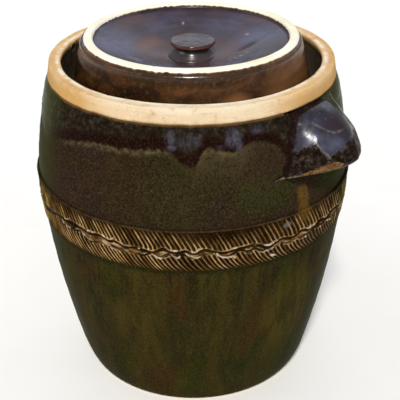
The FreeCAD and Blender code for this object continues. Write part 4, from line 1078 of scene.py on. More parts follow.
def band_relief():
    rng = np.random.default_rng(17)
    pitch = 360.0 / RIBS

    def edges(jitter, start):
        steps = np.clip(rng.normal(1.0, jitter, RIBS), 0.66, 1.42)
        steps *= RIBS / steps.sum()
        return start + np.concatenate([[0], np.cumsum(steps)]) * pitch

    up, down = edges(0.13, 0.0), edges(0.13, 1.1)
    cols = RIBS * len(RIB_PARTS)
    j = np.arange(cols)
    rib, part = j // len(RIB_PARTS), np.array(RIB_PARTS)[j % len(RIB_PARTS)]
    az_up = up[rib] + (up[rib + 1] - up[rib]) * part
    az_down = down[rib] + (down[rib + 1] - down[rib]) * part
    wide_up = (up[rib + 1] - up[rib]) / pitch
    wide_down = (down[rib + 1] - down[rib]) / pitch

    z = np.concatenate(
        [
            [157.9, 158.4, 159.1],
            np.linspace(159.9, 169.2, 12),
            np.linspace(169.8, 183.4, 28),
            np.linspace(184.3, 193.4, 9),
            [194.0, 194.6, 195.0, 195.5, 196.0, 196.5, 196.9],
        ]
    )
    rows = len(z)
    Z = np.repeat(z[:, None], cols, 1)
    # the grid leans with the ribs
    lean = 0.233 * np.clip(197.0 - z, 0, 15.0) + 0.10 * np.clip(182.0 - z, 0, 10.0)
    lean = lean + 0.24 * np.clip(172.0 - z, 0, 15.0) + 0.016 * np.clip(167.0 - z, 0, 9.0) ** 2
    mixed = step_up(z, 172.0, 182.0)[:, None]
    AZ = az_up * mixed + az_down * (1 - mixed) + lean[:, None]
    AZ = (AZ + 180.0) % 360.0 - 180.0
    A = turn_of(AZ)
    across = (np.minimum(part, 1 - part) * 3.99)[None, :]

    strand_a, strand_b, rolls = chain_lines()
    line_a, line_b = height_on(strand_a, AZ), height_on(strand_b, AZ)

    def slope(line):
        return np.hypot(1.0, (height_on(line, AZ + 0.4) - height_on(line, AZ - 0.4)) / (0.8 * 2.396))

    thin = 1.0 + 0.25 * waves(A, 0.0, 88, 30, (10, 60), (0, 0), 0.1)
    near_a, near_b = np.abs(Z - line_a) / slope(strand_a) / thin, np.abs(Z - line_b) / slope(strand_b) / thin
    cut_a = 1 - step_up(near_a, 0.85, 1.60)
    cut_b = (1 - step_up(near_b, 0.75, 1.45)) * (0.75 + 0.25 * waves(A, 0.0, 89, 30, (8, 40), (0, 0), 0.1))
    roll = np.zeros(AZ.shape)
    for bright, points in rolls:
        a0, a1 = min(p[0] for p in points) - 2.0, max(p[0] for p in points) + 2.0
        d = (AZ - (a0 + a1) / 2 + 180.0) % 360.0 - 180.0
        here = np.abs(d) < (a1 - a0) / 2
        if here.any():
            bump = bright * np.exp(-((near_line(AZ[here], Z[here], points) / 1.1) ** 2))
            roll[here] = np.maximum(roll[here], bump)
    top_chain = np.maximum(line_a, line_b)
    low_chain = np.minimum(line_a, line_b)
    inside = step_up(top_chain - Z, -0.2, 0.8) * step_up(Z - low_chain, -0.2, 0.8)

    # the gaps between ribs are slots with round ends
    up_end = 196.0 + 0.4 * np.sin(1.7 * rib)[None, :]
    over = np.maximum(Z - (up_end - 1.9), (top_chain + 3.4) - Z)
    gap_up = np.hypot(across * wide_up, np.maximum(over, 0))
    gap_up = gap_up - (1.995 * wide_up - 0.62)
    gap_up = (1 - step_up(gap_up, -0.32, 0.32)) * (Z > (top_chain + low_chain) / 2)
    over = np.maximum(Z - (low_chain - 2.6), 159.6 - Z)
    gap_down = np.hypot(across * wide_down, np.maximum(over, 0) * 0.9)
    gap_down = gap_down - (1.995 * wide_down - 0.62)
    gap_down = (1 - step_up(gap_down, -0.32, 0.32)) * (Z < (top_chain + low_chain) / 2)
    gap_down = gap_down * step_up(Z, 157.9, 159.3)

    key = rng.uniform(0.0, 1.0, (4, RIBS + 2))
    bold = (0.72 + 0.28 * key[0][rib])[None, :]
    gap = np.maximum(gap_up, gap_down)
    deep = np.maximum.reduce([gap * bold, cut_a * 0.95, cut_b * 0.85])
    base = np.interp(z, [157.9, 159.3, 176.0, 194.7, 195.3, 196.3, 196.9], [135.0, 135.35, 137.35, 137.75, 138.2, 138.2, 137.2])
    base = base[:, None] + 0.0 * Z
    # a faint second scratch in some of the gaps
    second = np.exp(-(((across - 0.15) / 0.42) ** 2)) * np.where(Z > 177, key[1][rib], key[2][rib])
    second = second * gap * (0.35 + 0.65 * waves(A, Z, 90, 40, (10, 60), (0.0, 0.3), 0.1) ** 2)
    surface = base - 1.15 * deep + 0.45 * roll * (1 - 0.6 * cut_a) - 0.25 * inside + 0.30 * second
    surface += 0.12 * waves(A, Z, 84, 60, (20, 90), (0.0, 0.6), 0.1)
    surface += wobble(A, Z) + 0.1
    # the bottom edge dies into the wall
    surface = np.where(Z < 159.0, np.minimum(surface, wall_radius(Z) + wobble(A, Z) + 0.25 + (Z - 157.9) * 0.8), surface)

    # how light each ridge is: bold at the chain, dying out towards its far end
    fade_from = (0.5 + 10.0 * key[3][rib])[None, :]
    light_up = (0.56 + 0.62 * key[1][rib])[None, :] * (0.50 + 0.50 * step_up(194.0 + 2.0 - Z, 0.0, fade_from + 4.0))
    light_down = (0.58 + 0.58 * key[2][rib])[None, :] * (0.65 + 0.35 * step_up(Z, 158.5, 164.0))
    rib_light = np.where(Z > (top_chain + low_chain) / 2, light_up, light_down)
    shine = 1 - np.clip(gap / 0.98, 0, 1)
    shine = shine * (1 - 0.9 * np.maximum(cut_a, cut_b))
    patchy = 0.92 + 0.30 * waves(A, Z, 85, 60, (6, 70), (0.0, 0.35), 0.1)
    ridge = shine * np.clip(rib_light * patchy, 0.1, 1.2)
    ridge = ridge * (1 - inside * (0.45 + 0.40 * waves(A, Z, 91, 40, (8, 40), (0.0, 0.2), 0.1)))
    dull = blob(AZ, Z, 9.0, 20.0, 197.0, 15.0, 2.0)
    ridge = ridge * (1 - 0.55 * dull)
    ridge = ridge * (1 - 0.6 * step_up(Z, 194.8, 196.2))
    ridge = np.maximum(ridge, 0.35 * second)
    ridge = ridge * step_up(Z, 158.2, 159.6)
    # painted highlight on the rolls, weaker where a strand cuts through them
    roll_glint = roll * (1 - 0.8 * np.maximum(cut_a * (roll < 0.6), 0)) * (0.80 + 0.30 * waves(A, Z, 86, 50, (20, 90), (0.0, 0.5), 0.1))
    bead = np.exp(-(((Z - 196.35) / 0.55) ** 2)) * (0.70 + 0.55 * waves(A, Z, 87, 50, (8, 60), (0.0, 0.2), 0.2))

    inner = np.array([196.9, 177.0, 157.9])
    back = np.repeat((wall_radius(inner) - 1.0)[:, None], cols, 1)
    lean_in = np.interp(inner, z, lean)
    mixed_in = step_up(inner, 172.0, 182.0)[:, None]
    AI = turn_of(az_up * mixed_in + az_down * (1 - mixed_in) + lean_in[:, None])
    Rall = np.concatenate([surface, back])
    Aall = np.concatenate([A, AI])
    Zall = np.concatenate([Z, np.repeat(inner[:, None], cols, 1)])
    verts = np.stack([Rall * np.cos(Aall), Rall * np.sin(Aall), Zall], -1).reshape(-1, 3)
    total = rows + len(inner)
    faces = grid_faces(total, cols, wrap_rows=True)

    def flat(values):
        values = np.broadcast_to(values, A.shape)
        return np.concatenate([values, np.zeros((len(inner), cols))]).reshape(-1)

    return mesh_object(
        "band_relief", verts, faces.tolist(), "crock", [PAINT["band"]], None,
        {
            "ridge": flat(np.clip(ridge, 0, 1.2)),
            "roll": flat(np.clip(roll_glint, 0, 1.2)),
            "bead": flat(np.clip(bead, 0, 1)),
            "drip": flat(blob(AZ, Z, 33.4, 2.3, 188.9, 3.3)),
            "smear": flat(smear_at(AZ, Z)),
            "green_and_shade": flat(green_and_shade_at(AZ, Z)),
            "flank": flat(olive_reflection_at(AZ, Z)),
        },
    )


# ------------------------------------------------------------------ handles
# Marks on the hood as (across, down) shares of it: where the lower, ragged glaze begins,
# the curled ridge under the thumb dent, and the fold that runs down from it.
RAGGED = [
    (-1.0, 0.52), (-0.97, 0.551), (-0.90, 0.575), (-0.83, 0.513), (-0.765, 0.471), (-0.667, 0.475), (-0.605, 0.557),
    (-0.535, 0.663), (-0.473, 0.712), (-0.41, 0.633), (-0.28, 0.591), (-0.13, 0.529), (0.03, 0.475), (0.285, 0.455),
    (0.5, 0.52), (0.7, 0.60), (0.85, 0.52), (1.0, 0.50),
]
CURL = [(-0.527, 0.191), (-0.455, 0.245), (-0.38, 0.293), (-0.275, 0.335), (-0.142, 0.333), (0.032, 0.325)]
FOLD = [(-0.61, 0.35), (-0.643, 0.461), (-0.59, 0.549), (-0.497, 0.651), (-0.468, 0.71)]


def near_mark(u, w, points):
    """Distance in millimetres from places on the hood to a mark."""
    near = np.full(np.broadcast(u, w).shape, 99.0)
    for (u0, w0), (u1, w1) in zip(points[:-1], points[1:]):
        du, dw = (u1 - u0) * 44.0, (w1 - w0) * 44.0
        x, y = (u - u0) * 44.0, (w - w0) * 44.0
        t = np.clip((x * du + y * dw) / (du * du + dw * dw), 0, 1)
        near = np.minimum(near, np.hypot(x - t * du, y - t * dw))
    return near


def hood(u, w, top_z, low_z, top_half, low_half, proud, tuck, bury, drop, bulge):
    """Turn, height over the wall before burying, and level of places on a hood."""
    au = np.abs(u)
    plan = np.maximum(1 - au**1.42, 0) ** 0.765
    rise = np.sin(0.5 * math.pi * np.clip(w, 0, 1)) ** 0.5
    rise = rise * (1 - tuck * np.maximum((w - 0.75) / 0.25, 0) ** 2)
    z = top_z + (low_z - drop * np.minimum(au, 1) ** 4 - top_z) * w
    flank = np.exp(-(((au - 0.74) / 0.36) ** 2)) * np.maximum(1 - au**6, 0)
    swell = bulge * flank * np.exp(-(((w - 0.51) / 0.19) ** 2))
    spread = np.radians(top_half + (low_half - top_half) * np.maximum(w, 0) ** 1.5) * u
    return spread, (proud + bury) * plan * rise + swell, z


def true_wall(angle, z):
    """Radius of the pot's outside as it was turned and glazed, up to the groove under the rim."""
    r = np.where(z > 271.3, np.interp(z, [271.3, 277.6, 278.4, 279.2, 289.7], [125.1, 122.4, 121.7, 122.6, 120.9]), wall_radius(z))
    run = z - run_edge(azimuth_of(angle))
    glaze = 0.30 * step_up(run, -0.3, 1.5) + 0.24 * np.exp(-(((run - 1.5) / 1.3) ** 2))
    glaze = (glaze + 0.20 * blue_patch_at(azimuth_of(angle), z)) * (1 - step_up(z, 274.0, 278.5))
    return r + turning(angle, z) * (z < 276) + wobble(angle, z) + glaze


def handle(name, turn, seed):
    """A hood of clay pulled out and pressed onto the wall, hollow underneath."""
    along, inside = 92, 50
    s = np.linspace(-1, 1, 151)
    u = np.sign(s) * np.abs(s) ** 0.86
    edge = np.array([1.02, 1.045, 1.075, 1.11, 1.15])
    u = np.concatenate([-edge[::-1], u, edge])
    across = len(u)
    w = np.concatenate([[-0.09, -0.06, -0.04, -0.022, -0.01], np.linspace(0, 1, along - 5) ** 1.7])
    U, W = np.meshgrid(u, w)
    spread, height, z = hood(U, W, 277.4, 234.2, 13.9, 20.0, 36.1, 0.26, 1.5, 5.5, 2.3)
    full = step_up(height, 1.0, 12.0)
    # the shallow thumb dent, its curled edge, and the unevenness of a piece shaped by hand
    uneven = 0.45 * waves(spread * 9, z * 1.0, seed, 30, (1, 4), (0.02, 0.10), 0.4)
    dent = np.exp(-(((U + 0.20) * 44 / 10.5) ** 2) - (((W - 0.215) * 44 / 5.0) ** 2))
    curl, fold = near_mark(U, W, CURL), near_mark(U, W, FOLD)
    height = height + full * (uneven - 1.1 * dent + 0.40 * np.exp(-((curl / 1.1) ** 2)) + 0.30 * np.exp(-((fold / 1.2) ** 2)))
    ragged = (W - np.interp(U, *np.array(RAGGED).T)) * 44.0
    ragged = ragged + 1.3 * waves(spread * 16, z, seed + 1, 40, (1, 9), (0.0, 0.5), 0.2)
    height = height - full * 0.35 * step_up(ragged, -0.8, 1.4) * (1 - step_up(W, 0.85, 0.97))
    height = height + full * 0.30 * waves(spread * 14, z, seed + 2, 50, (1, 9), (0.05, 0.6), 0.2) * step_up(ragged, 0.0, 3.0)
    # fillet against the wall
    over = height - 1.5
    over = np.where(np.abs(U) > 1, -1.5 - 34.0 * (np.abs(U) - 1), over) + np.minimum(W, 0) * 62.0
    soft = 1.15
    over = soft * np.logaddexp(0.0, over / soft)
    r = true_wall(spread + turn, z) - 0.16 + over
    outer = np.stack([r, spread, z], -1)

    wi = np.linspace(1, 0, inside) ** 1.4
    UI, WI = np.meshgrid(u, wi)
    si, hi, zi = hood(np.clip(UI, -1, 1), WI, 264.4, 234.2, 10.78, 14.8, 26.1, 0.26, 1.5, 0.0, 0.0)
    # the mouth of the hollow follows the drooping lip
    zi = zi - 5.5 * np.minimum(np.abs(UI), 1) ** 4 * WI**3 * 0.35
    ri = wall_radius(zi) - 1.5 + hi + 0.5 * waves(si * 9, zi, seed + 7, 20, (1, 4), (0.02, 0.12), 0.4) * step_up(hi, 1.0, 8.0)
    ri = ri - 0.6 * step_up(np.abs(UI), 0.97, 1.0)
    inner = np.stack([ri, si, zi], -1)

    # the rounded lip between the outer and the inner skin
    a, b = outer[-1], inner[0]
    lip = []
    thick = np.hypot(a[:, 0] - b[:, 0], (a[:, 1] - b[:, 1]) * 140.0)
    for t in np.linspace(0, 1, 9)[1:-1]:
        row = a * (1 - t) + b * t
        row[:, 2] -= 1.9 * np.clip(thick / 9.0, 0.1, 1.0) * np.sin(math.pi * t) ** 0.8 * step_up(a[:, 0] - wall_radius(a[:, 2]), 1.0, 7.0)
        lip.append(row)
    grid = np.concatenate([outer, np.array(lip), inner])
    rows = len(grid)
    R, S, Z = grid[..., 0], grid[..., 1], grid[..., 2]
    verts = np.stack([R * np.cos(S + turn), R * np.sin(S + turn), Z], -1).reshape(-1, 3)
    faces = grid_faces(rows, across, wrap_rows=True, wrap_cols=False, flip=True).tolist()
    for col, flip in ((0, True), (across - 1, False)):
        ring = [row * across + col for row in range(rows)]
        middle = len(verts)
        verts = np.concatenate([verts, verts[ring].mean(0)[None]])
        for i in range(rows):
            k = (i + 1) % rows
            faces.append([ring[k], ring[i], middle] if not flip else [ring[i], ring[k], middle])
    order = np.arange(rows)[:, None]
    on_lip = step_up(order, along - 4, along) * (1 - step_up(order, along + 7, along + 13))
    on_lip = on_lip + np.zeros((1, across))
    side = np.interp(u, [-1.1, -0.88, -0.80, -0.64, -0.38, -0.26, -0.16, 0.6, 1.1], [0.0, 0.0, 0.6, 1.0, 1.0, 0.7, 0.0, 0.0, 0.0])
    reach = np.interp(u, [-0.84, -0.68, -0.52, -0.38, -0.22, -0.1], [0.96, 0.90, 0.82, 0.78, 0.85, 0.97])
    on_lip[:along] = np.maximum(on_lip[:along], step_up(W - reach[None, :] + 0.02 * waves(spread * 30, z, seed + 9, 30, (1, 9), (0.1, 0.8), 0.1), -0.03, 0.03))
    marks = {
        "bare": on_lip * side[None, :],
        "low": np.concatenate([ragged, np.full((rows - along, across), 6.0)]) / 10.0,
        "painted_glint": np.zeros((rows, across)),
        "root": np.zeros((rows, across)),
        "sheen": np.zeros((rows, across)),
        "dent": np.zeros((rows, across)),
        "back": np.repeat(step_up(u, 0.22, 0.58)[None, :], rows, 0),
    }
    # painted highlights along the curled ridge and the fold
    glint = 0.36 * np.exp(-((curl / 0.62) ** 2)) * (1 - step_up(U, -0.16, 0.03))
    glint = np.maximum(glint, 0.42 * np.exp(-((fold / 0.55) ** 2)))
    # painted sheen: bluish reflection and glow round the highlight, in soft spots on the left of the hood
    sheen = 0.9 * np.exp(-(((U + 0.70) / 0.20) ** 2) - (((W - 0.42) / 0.17) ** 2))
    sheen = np.maximum(sheen, 0.75 * np.exp(-(((U + 0.36) / 0.20) ** 2) - (((W - 0.50) / 0.12) ** 2)))
    sheen = np.maximum(sheen, 0.45 * np.exp(-(((U + 0.62) / 0.25) ** 2) - (((W - 0.12) / 0.10) ** 2)))
    sheen = sheen * (0.75 + 0.5 * waves(spread * 20, z, seed + 5, 40, (1, 9), (0.05, 0.9), 0.2))
    # a painted highlight along the seam where the lip was luted on
    seam = np.exp(-(((W - 1.0) * 44 / 0.75) ** 2)) * (1 - step_up(U, -0.86, -0.66))
    glint = np.maximum(glint, seam)
    marks["painted_glint"][:along] = np.clip(glint, 0, 1)
    marks["root"][:along] = 1 - step_up(over, 0.5, 8.0)
    marks["sheen"][:along] = np.clip(sheen, 0, 1)
    # painted shade in the thumb dent
    marks["dent"][:along] = np.exp(-(((U + 0.13) * 44 / 9.5) ** 2) - (((W - 0.235) * 44 / 4.6) ** 2))
    marks["root"][along:] = 0.0

    # the smears of clay that run out from both ends of the lip onto the wall
    packs = {key: [value.reshape(-1), np.zeros(2)] for key, value in marks.items()}
    for way in (-1, 1):
        n, m = 64, 15
        t = np.linspace(0, 1, n)[:, None]
        v = np.linspace(-1, 1, m)[None, :]
        at = np.radians(way * (15.5 + 9.5 * t)) + 0.0 * v
        middle_z = 231.6 - 1.6 * t - 2.4 * t**2 + 0.35 * np.sin(4.6 * t + way)
        out = (1.5 * (1 - t) ** 0.8 + 0.35) * (1 - v**2) ** 0.75 * (1 + 0.18 * np.sin(11 * t + 2 * way))
        wide = 1.5 * (1 - t) ** 0.7 + 0.45
        level = middle_z + wide * v
        radius = true_wall(at + turn, level) - 0.2 + out
        patch = np.stack([radius * np.cos(at + turn), radius * np.sin(at + turn), level], -1).reshape(-1, 3)
        start = len(verts)
        verts = np.concatenate([verts, patch])
        quads = grid_faces(n, m, wrap_cols=False, flip=way > 0) + start
        faces += quads.tolist()
        # a painted highlight along the crest of each smear
        crest = np.exp(-(((v + 0.25) / 0.30) ** 2)) * (0.55 + 0.35 * (1 - t))
        packs["bare"].append(np.zeros(n * m))
        packs["low"].append(np.full(n * m, 0.9))
        packs["painted_glint"].append((crest + 0 * at).reshape(-1))
        packs["root"].append(np.full(n * m, 0.75))
        packs["sheen"].append(np.zeros(n * m))
        packs["dent"].append(np.zeros(n * m))
        packs["back"].append(np.zeros(n * m))
    packs = {key: np.concatenate(value) for key, value in packs.items()}
    # the full, wet-looking glaze stays on the outer face; lip, flank and hollow are duller
    dull = (packs["low"] > 0.02) | (packs["back"] > 0.5) | (packs["root"] > 0.6)
    slots = [1 if dull[list(face)].sum() * 2 >= len(face) else 0 for face in faces]
    return mesh_object(name, verts, faces, "crock", [PAINT["handle"], PAINT["handle_low"]], slots, packs)


# ---------------------------------------------------------------------- lid
LID_SEG = 448


def lid_cap():
    pts = [
        (0.7, 40.0), (20.4, 40.0), (80.6, 55.4), (82.0, 56.8), (82.5, 58.8), (83.7, 60.0), (88.6, 60.0),
        (90.6, 58.2), (90.5, 57.3), (91.5, 57.1), (93.5, 53.2), (102.0, 2.0), (100.4, 0.0), (95.4, 0.0),
        (94.2, 2.0), (86.9, 41.9), (80.6, 47.2), (20.4, 32.0), (0.7, 32.0),
    ]
    bows = {1: (420.0, 1), 6: (2.2, -1), 9: (3.4, -1), 10: (150.0, -1), 14: (150.0, 1), 15: (9.0, 1), 16: (420.0, -1)}
    line = smoothed(dense_line(pts, bows), 0.38, False)

    def ask(r, z):
        w = np.where(z < 46, 0.8, 1.0)
        w = np.where((r > 78) & (z > 48), 2.6, w)
        w = np.where((z < 48) & (r < 94) & (z > 20) & (r > 5), 0.6, w)
        w = np.where(z < 14, 1.5, w)
        return w

    sec = resampled(line, 190, False, 1.5, ask)
    nrm = -normals_of(sec, False)
    rows = len(sec)
    angle = np.arange(LID_SEG) * 2 * math.pi / LID_SEG
    A, Z = np.meshgrid(angle, sec[:, 1])
    R = np.repeat(sec[:, :1], LID_SEG, 1)
    az = azimuth_of(A)
    dish_to = int(np.argmax(sec[:, 0] > 80.0))
    ring_to = int(np.argmax((sec[:, 1] < 57.35) & (sec[:, 0] > 89.0) & (np.arange(rows) > dish_to + 5)))
    skirt_to = int(np.argmax((sec[:, 1] < 1.0)))
    order = np.arange(rows)[:, None]
    dish, skirt = (order <= dish_to) * 1.0, ((order > ring_to) & (order <= skirt_to)) * 1.0
    push = np.zeros(A.shape)
    # turned rings in the dish, and a long finger mark
    push += dish * step_up(R, 18, 30) * (1 - step_up(R, 72, 80)) * (
        0.035 * np.cos(2 * math.pi * R / 9.5 + A) + 0.12 * waves(A, R, 101, 30, (1, 4), (0.02, 0.08))
    )
    X0, Y0 = R * np.cos(A), R * np.sin(A)
    fx, fy = turn_of(95.3), 47.2
    cx, cy = fy * np.cos(fx), fy * np.sin(fx)
    along = turn_of(127.8)
    dx, dy = X0 - cx, Y0 - cy
    p, q = dx * np.cos(along) + dy * np.sin(along), -dx * np.sin(along) + dy * np.cos(along)
    strokes = 0.55 + 0.45 * np.cos(2 * math.pi * q / 2.6 + 0.15 * p)
    mark = np.exp(-((p / 11.5) ** 4) - (q / 3.6) ** 4)
    push -= dish * 0.60 * mark * strokes
    push += skirt * (0.16 * np.cos(2 * math.pi * Z / 8.5 + A) + 0.30 * waves(A, Z, 102, 30, (1, 6), (0.0, 0.08)))
    ring = ((order > dish_to) & (order <= ring_to)) * 1.0
    push += ring * 0.16 * waves(A, Z, 103, 50, (3, 26), (0.0, 0.4), 0.3)
    push -= ring * 0.7 * blob(az, Z, -20.0, 1.3, 58.5, 2.0) + ring * 0.5 * blob(az, Z, 96.0, 1.1, 59.0, 2.0)
    push += (1 - dish) * (1 - ring) * (1 - skirt) * 0.25 * waves(A, Z, 104, 20, (1, 5), (0.0, 0.08))
    Rn = R + push * nrm[:, :1]
    H = Z + push * nrm[:, 1:]
    # the two notches that let gas out, at front and back of the skirt
    side = np.abs(Rn * np.cos(A))
    notch = np.where(side < 5.0, np.sqrt(np.maximum(25.0 - side**2, 0)), 0.0)
    skirt_zone = (R > 90.0) & (Z < 20.0)
    lifted = notch + H * (20.0 - notch) / 20.0
    H = np.where(skirt_zone, lifted, H)
    verts = np.stack([Rn * np.cos(A), Rn * np.sin(A), H + 250.0], -1).reshape(-1, 3)
    verts = np.concatenate([verts, [[0, 0, 290.0], [0, 0, 282.0]]])
    faces = grid_faces(rows, LID_SEG, flip=True).tolist()
    level = np.arange(rows - 1)
    slots = np.where(level > skirt_to, 1, np.where(level > dish_to + 8, 2, 0))
    slots = np.where((level > ring_to) & (level < skirt_to) & (sec[:-1, 1] > 52.0), 3, slots)
    slots = np.repeat(slots[:, None], LID_SEG, 1).reshape(-1).tolist()
    last = (rows - 1) * LID_SEG
    for c in range(LID_SEG):
        d = (c + 1) % LID_SEG
        faces.append([rows * LID_SEG, c, d])
        slots.append(0)
        faces.append([rows * LID_SEG + 1, last + d, last + c])
        slots.append(1)
    uneven = waves(A, Z * 0, 105, 60, (3, 50), (0, 0), 0.5)
    # distance into the bare ring, from its inner and from its outer edge
    inner_edge = R - 81.6 - 0.12 * uneven
    outer_edge = (Z - 58.0) + 0.38 * waves(A, Z * 0, 106, 90, (24, 120), (0, 0), 0.1)
    bare = np.minimum(np.where(order <= dish_to + 40, inner_edge, 9.0), outer_edge)
    bare = np.where((Z > 50) & (R > 76) & (order <= ring_to + 12), bare, -4.0)
    patch = dish * np.exp(-(((R - 41 - 0.05 * (az + 112)) / 8.0) ** 2)) * blob(az, 0 * Z, -113.0, 34.0, 0.0, 1.0)
    patch = np.maximum(patch, dish * 0.30 * step_up(waves(A * 2, R, 107, 30, (1, 5), (0.02, 0.1)), 0.25, 0.9))
    patch = np.maximum(patch, dish * 0.35 * np.exp(-(((R - 30) / 9.0) ** 2)))
    # places on the dish seen from the front: to the right and towards the viewer
    rx, ry = math.cos(float(turn_of(90.0))), math.sin(float(turn_of(90.0)))
    vx, vy = math.cos(float(turn_of(0.0))), math.sin(float(turn_of(0.0)))
    to_right, to_front = X0 * rx + Y0 * ry, X0 * vx + Y0 * vy

    def pool(right, front, wide, deep):
        return np.exp(-(((to_right - right) / wide) ** 2) - ((to_front - front) / deep) ** 2)

    # painted sheen: bluish reflection in pools on the dish
    dish_sheen_and_left_skirt = np.maximum.reduce([
        pool(-64, 2, 19, 32), 0.8 * pool(-46, 32, 17, 10), 0.95 * pool(62, -20, 21, 20), 0.6 * pool(52, 26, 16, 14),
        0.75 * pool(-22, 44, 24, 14), 0.75 * pool(26, 40, 26, 16), 0.35 * pool(-20, -68, 36, 8), 0.5 * pool(30, -52, 22, 16), 0.4 * pool(-30, -50, 16, 14),
    ])
    slash = dish * 0.95 * mark * (0.65 + 0.35 * strokes)
    # sheens that follow the finger marks
    arcs = 0.55 * np.exp(-(((R - 53.5 - 0.42 * np.abs(az + 55)) / 1.6) ** 2)) * blob(az, 0 * Z, -57.0, 13.0, 0.0, 1.0)
    arcs = np.maximum(arcs, 0.9 * np.exp(-(((p + 18.0) / 13.0) ** 4) - ((q + 12.6 - 0.02 * (p + 18) ** 2) / 1.1) ** 2))
    arcs = np.maximum(arcs, 0.45 * np.exp(-((p / 12.0) ** 4) - ((q + 5.2) / 0.9) ** 2))
    arcs = np.maximum(arcs, 0.40 * np.exp(-(((R - 62.0 + 0.1 * (az - 60)) / 1.2) ** 2)) * blob(az, 0 * Z, 62.0, 22.0, 0.0, 1.0))
    for right, front in ((-7.7, -58.9), (48.4, -29.0)):
        arcs = np.maximum(arcs, 1.6 * pool(right, front, 0.8, 1.6))
    hot = blob(az, Z, 21.0, 11.0, 30.0, 15.0) * 1.0
    hot = np.maximum(hot, 0.62 * blob(az, Z, 58.0, 34.0, 30.0, 34.0))
    hot = np.maximum(hot, 0.5 * step_up(waves(A, Z, 108, 40, (2, 9), (0.01, 0.07)), 0.35, 0.95) * (1 - 0.8 * blob(az, Z, -45.0, 38.0, 30.0, 40.0)))
    patch = np.where(dish > 0, patch, hot * (order > ring_to))

    def flat(values):
        values = np.broadcast_to(values, A.shape).reshape(-1)
        return np.concatenate([values, values[:1], values[-1:]])

    return mesh_object(
        "lid_cap", verts, faces, "lid", [PAINT["dish"], PAINT["inside"], PAINT["lid"], PAINT["roll"]], slots,
        {
            "bare": flat(np.clip(bare, -40, 40) / 10.0),
            "side": flat(((order > dish_to + 8) * 1.0)),
            "dish": flat(dish),
            "patch": flat(np.clip(patch, 0, 1)),
            # painted sheen on the dish, and a darker left side on the skirt
            "dish_sheen_and_left_skirt": flat(np.where(dish > 0, np.clip(dish_sheen_and_left_skirt, 0, 1), 0.9 * step_up(-az, -25.0, 25.0) * (1 - step_up(-az, 110.0, 150.0)))),
            "slash": flat(slash),
            "arc": flat(np.clip(arcs * dish, 0, 1)),
        },
    )


def knob_cap():
    pts = [
        (19.6, 39.3), (19.6, 40.0), (19.6, 40.6), (18.3, 41.3), (14.8, 45.3), (14.0, 47.3), (14.7, 48.6), (17.9, 49.7),
        (19.3, 51.4), (18.5, 53.5), (0.5, 54.57),
    ]
    bows = {9: (160.0, 1)}
    line = smoothed(dense_line(pts, bows, step=0.06), 0.45, False)
    sec = resampled(line, 84, False, 1.5)
    nrm = normals_of(sec, False)
    rows, cols = len(sec), 220
    angle = np.arange(cols) * 2 * math.pi / cols
    A, Z = np.meshgrid(angle, sec[:, 1])
    R = np.repeat(sec[:, :1], cols, 1)
    push = 0.20 * waves(A, Z, 121, 30, (2, 7), (0.0, 0.3)) * step_up(R, 2.0, 9.0)
    widest = int(np.argmax(sec[:, 0] * (sec[:, 1] > 48.0)))
    top = (np.arange(rows)[:, None] > widest) * 1.0
    push += top * 0.055 * np.cos(2 * math.pi * R / 5.8 + A) * step_up(R, 1.5, 6.0) * (1 - step_up(R, 14, 17))
    X = R + push * nrm[:, :1]
    H = Z + push * nrm[:, 1:] + 250.0
    # the disc was thrown a little off the middle
    slip = 1.15 * step_up(Z, 41.0, 48.5)
    sx, sy = math.cos(float(turn_of(90.0))), math.sin(float(turn_of(90.0)))
    verts = np.stack([X * np.cos(A) + slip * sx, X * np.sin(A) + slip * sy, H], -1).reshape(-1, 3)
    verts = np.concatenate([verts, [[1.15 * sx, 1.15 * sy, H[-1].mean()], [0, 0, 289.3]]])
    faces = grid_faces(rows, cols).tolist()
    last = (rows - 1) * cols
    for c in range(cols):
        d = (c + 1) % cols
        faces.append([rows * cols, last + c, last + d])
        faces.append([rows * cols + 1, d, c])
    rim = np.exp(-(((Z - 50.9) / 1.8) ** 2)) * step_up(R, 14.0, 16.5)
    rim = np.concatenate([rim.reshape(-1), [0, 0]])
    slots = np.repeat(np.where(np.arange(rows - 1) < widest, 1, 0), cols).tolist() + [0, 1] * cols
    return mesh_object("knob_cap", verts, faces, "lid", [PAINT["knob"], PAINT["knob_neck"]], slots, {"rim": rim})


def collar_ring():
    pts = [(78.0, -0.6), (87.0, -0.6), (87.0, 0.0), (86.5, 3.0), (86.5, 31.0), (83.5, 34.0), (81.0, 34.0), (78.0, 31.0)]
    bows = {4: (3.0, 1), 6: (3.0, 1)}
    line = smoothed(dense_line(pts, bows, closed=True), 0.35, True)
    sec = resampled(line, 72, True, 1.5)
    nrm = normals_of(sec, True)
    rows, cols = len(sec), 384
    angle = np.arange(cols) * 2 * math.pi / cols
    A, Z = np.meshgrid(angle, sec[:, 1])
    R = np.repeat(sec[:, :1], cols, 1)
    push = 0.22 * waves(A, Z, 131, 30, (2, 6), (0.0, 0.1)) + 0.08 * np.cos(2 * math.pi * Z / 7.0 + A)
    push = push * step_up(Z, 0.5, 4.0)
    X, H = R + push * nrm[:, :1], Z + push * nrm[:, 1:]
    verts = np.stack([X * np.cos(A), X * np.sin(A), H + 250.0], -1).reshape(-1, 3)
    faces = grid_faces(rows, cols, wrap_rows=True).tolist()
    bare = (Z - 31.2 + 0.5 * waves(A, Z * 0, 132, 50, (3, 40), (0, 0), 0.4)) / 10.0
    return mesh_object("collar_ring", verts, faces, "crock", [PAINT["collar"]], None, {"bare": bare.reshape(-1)})


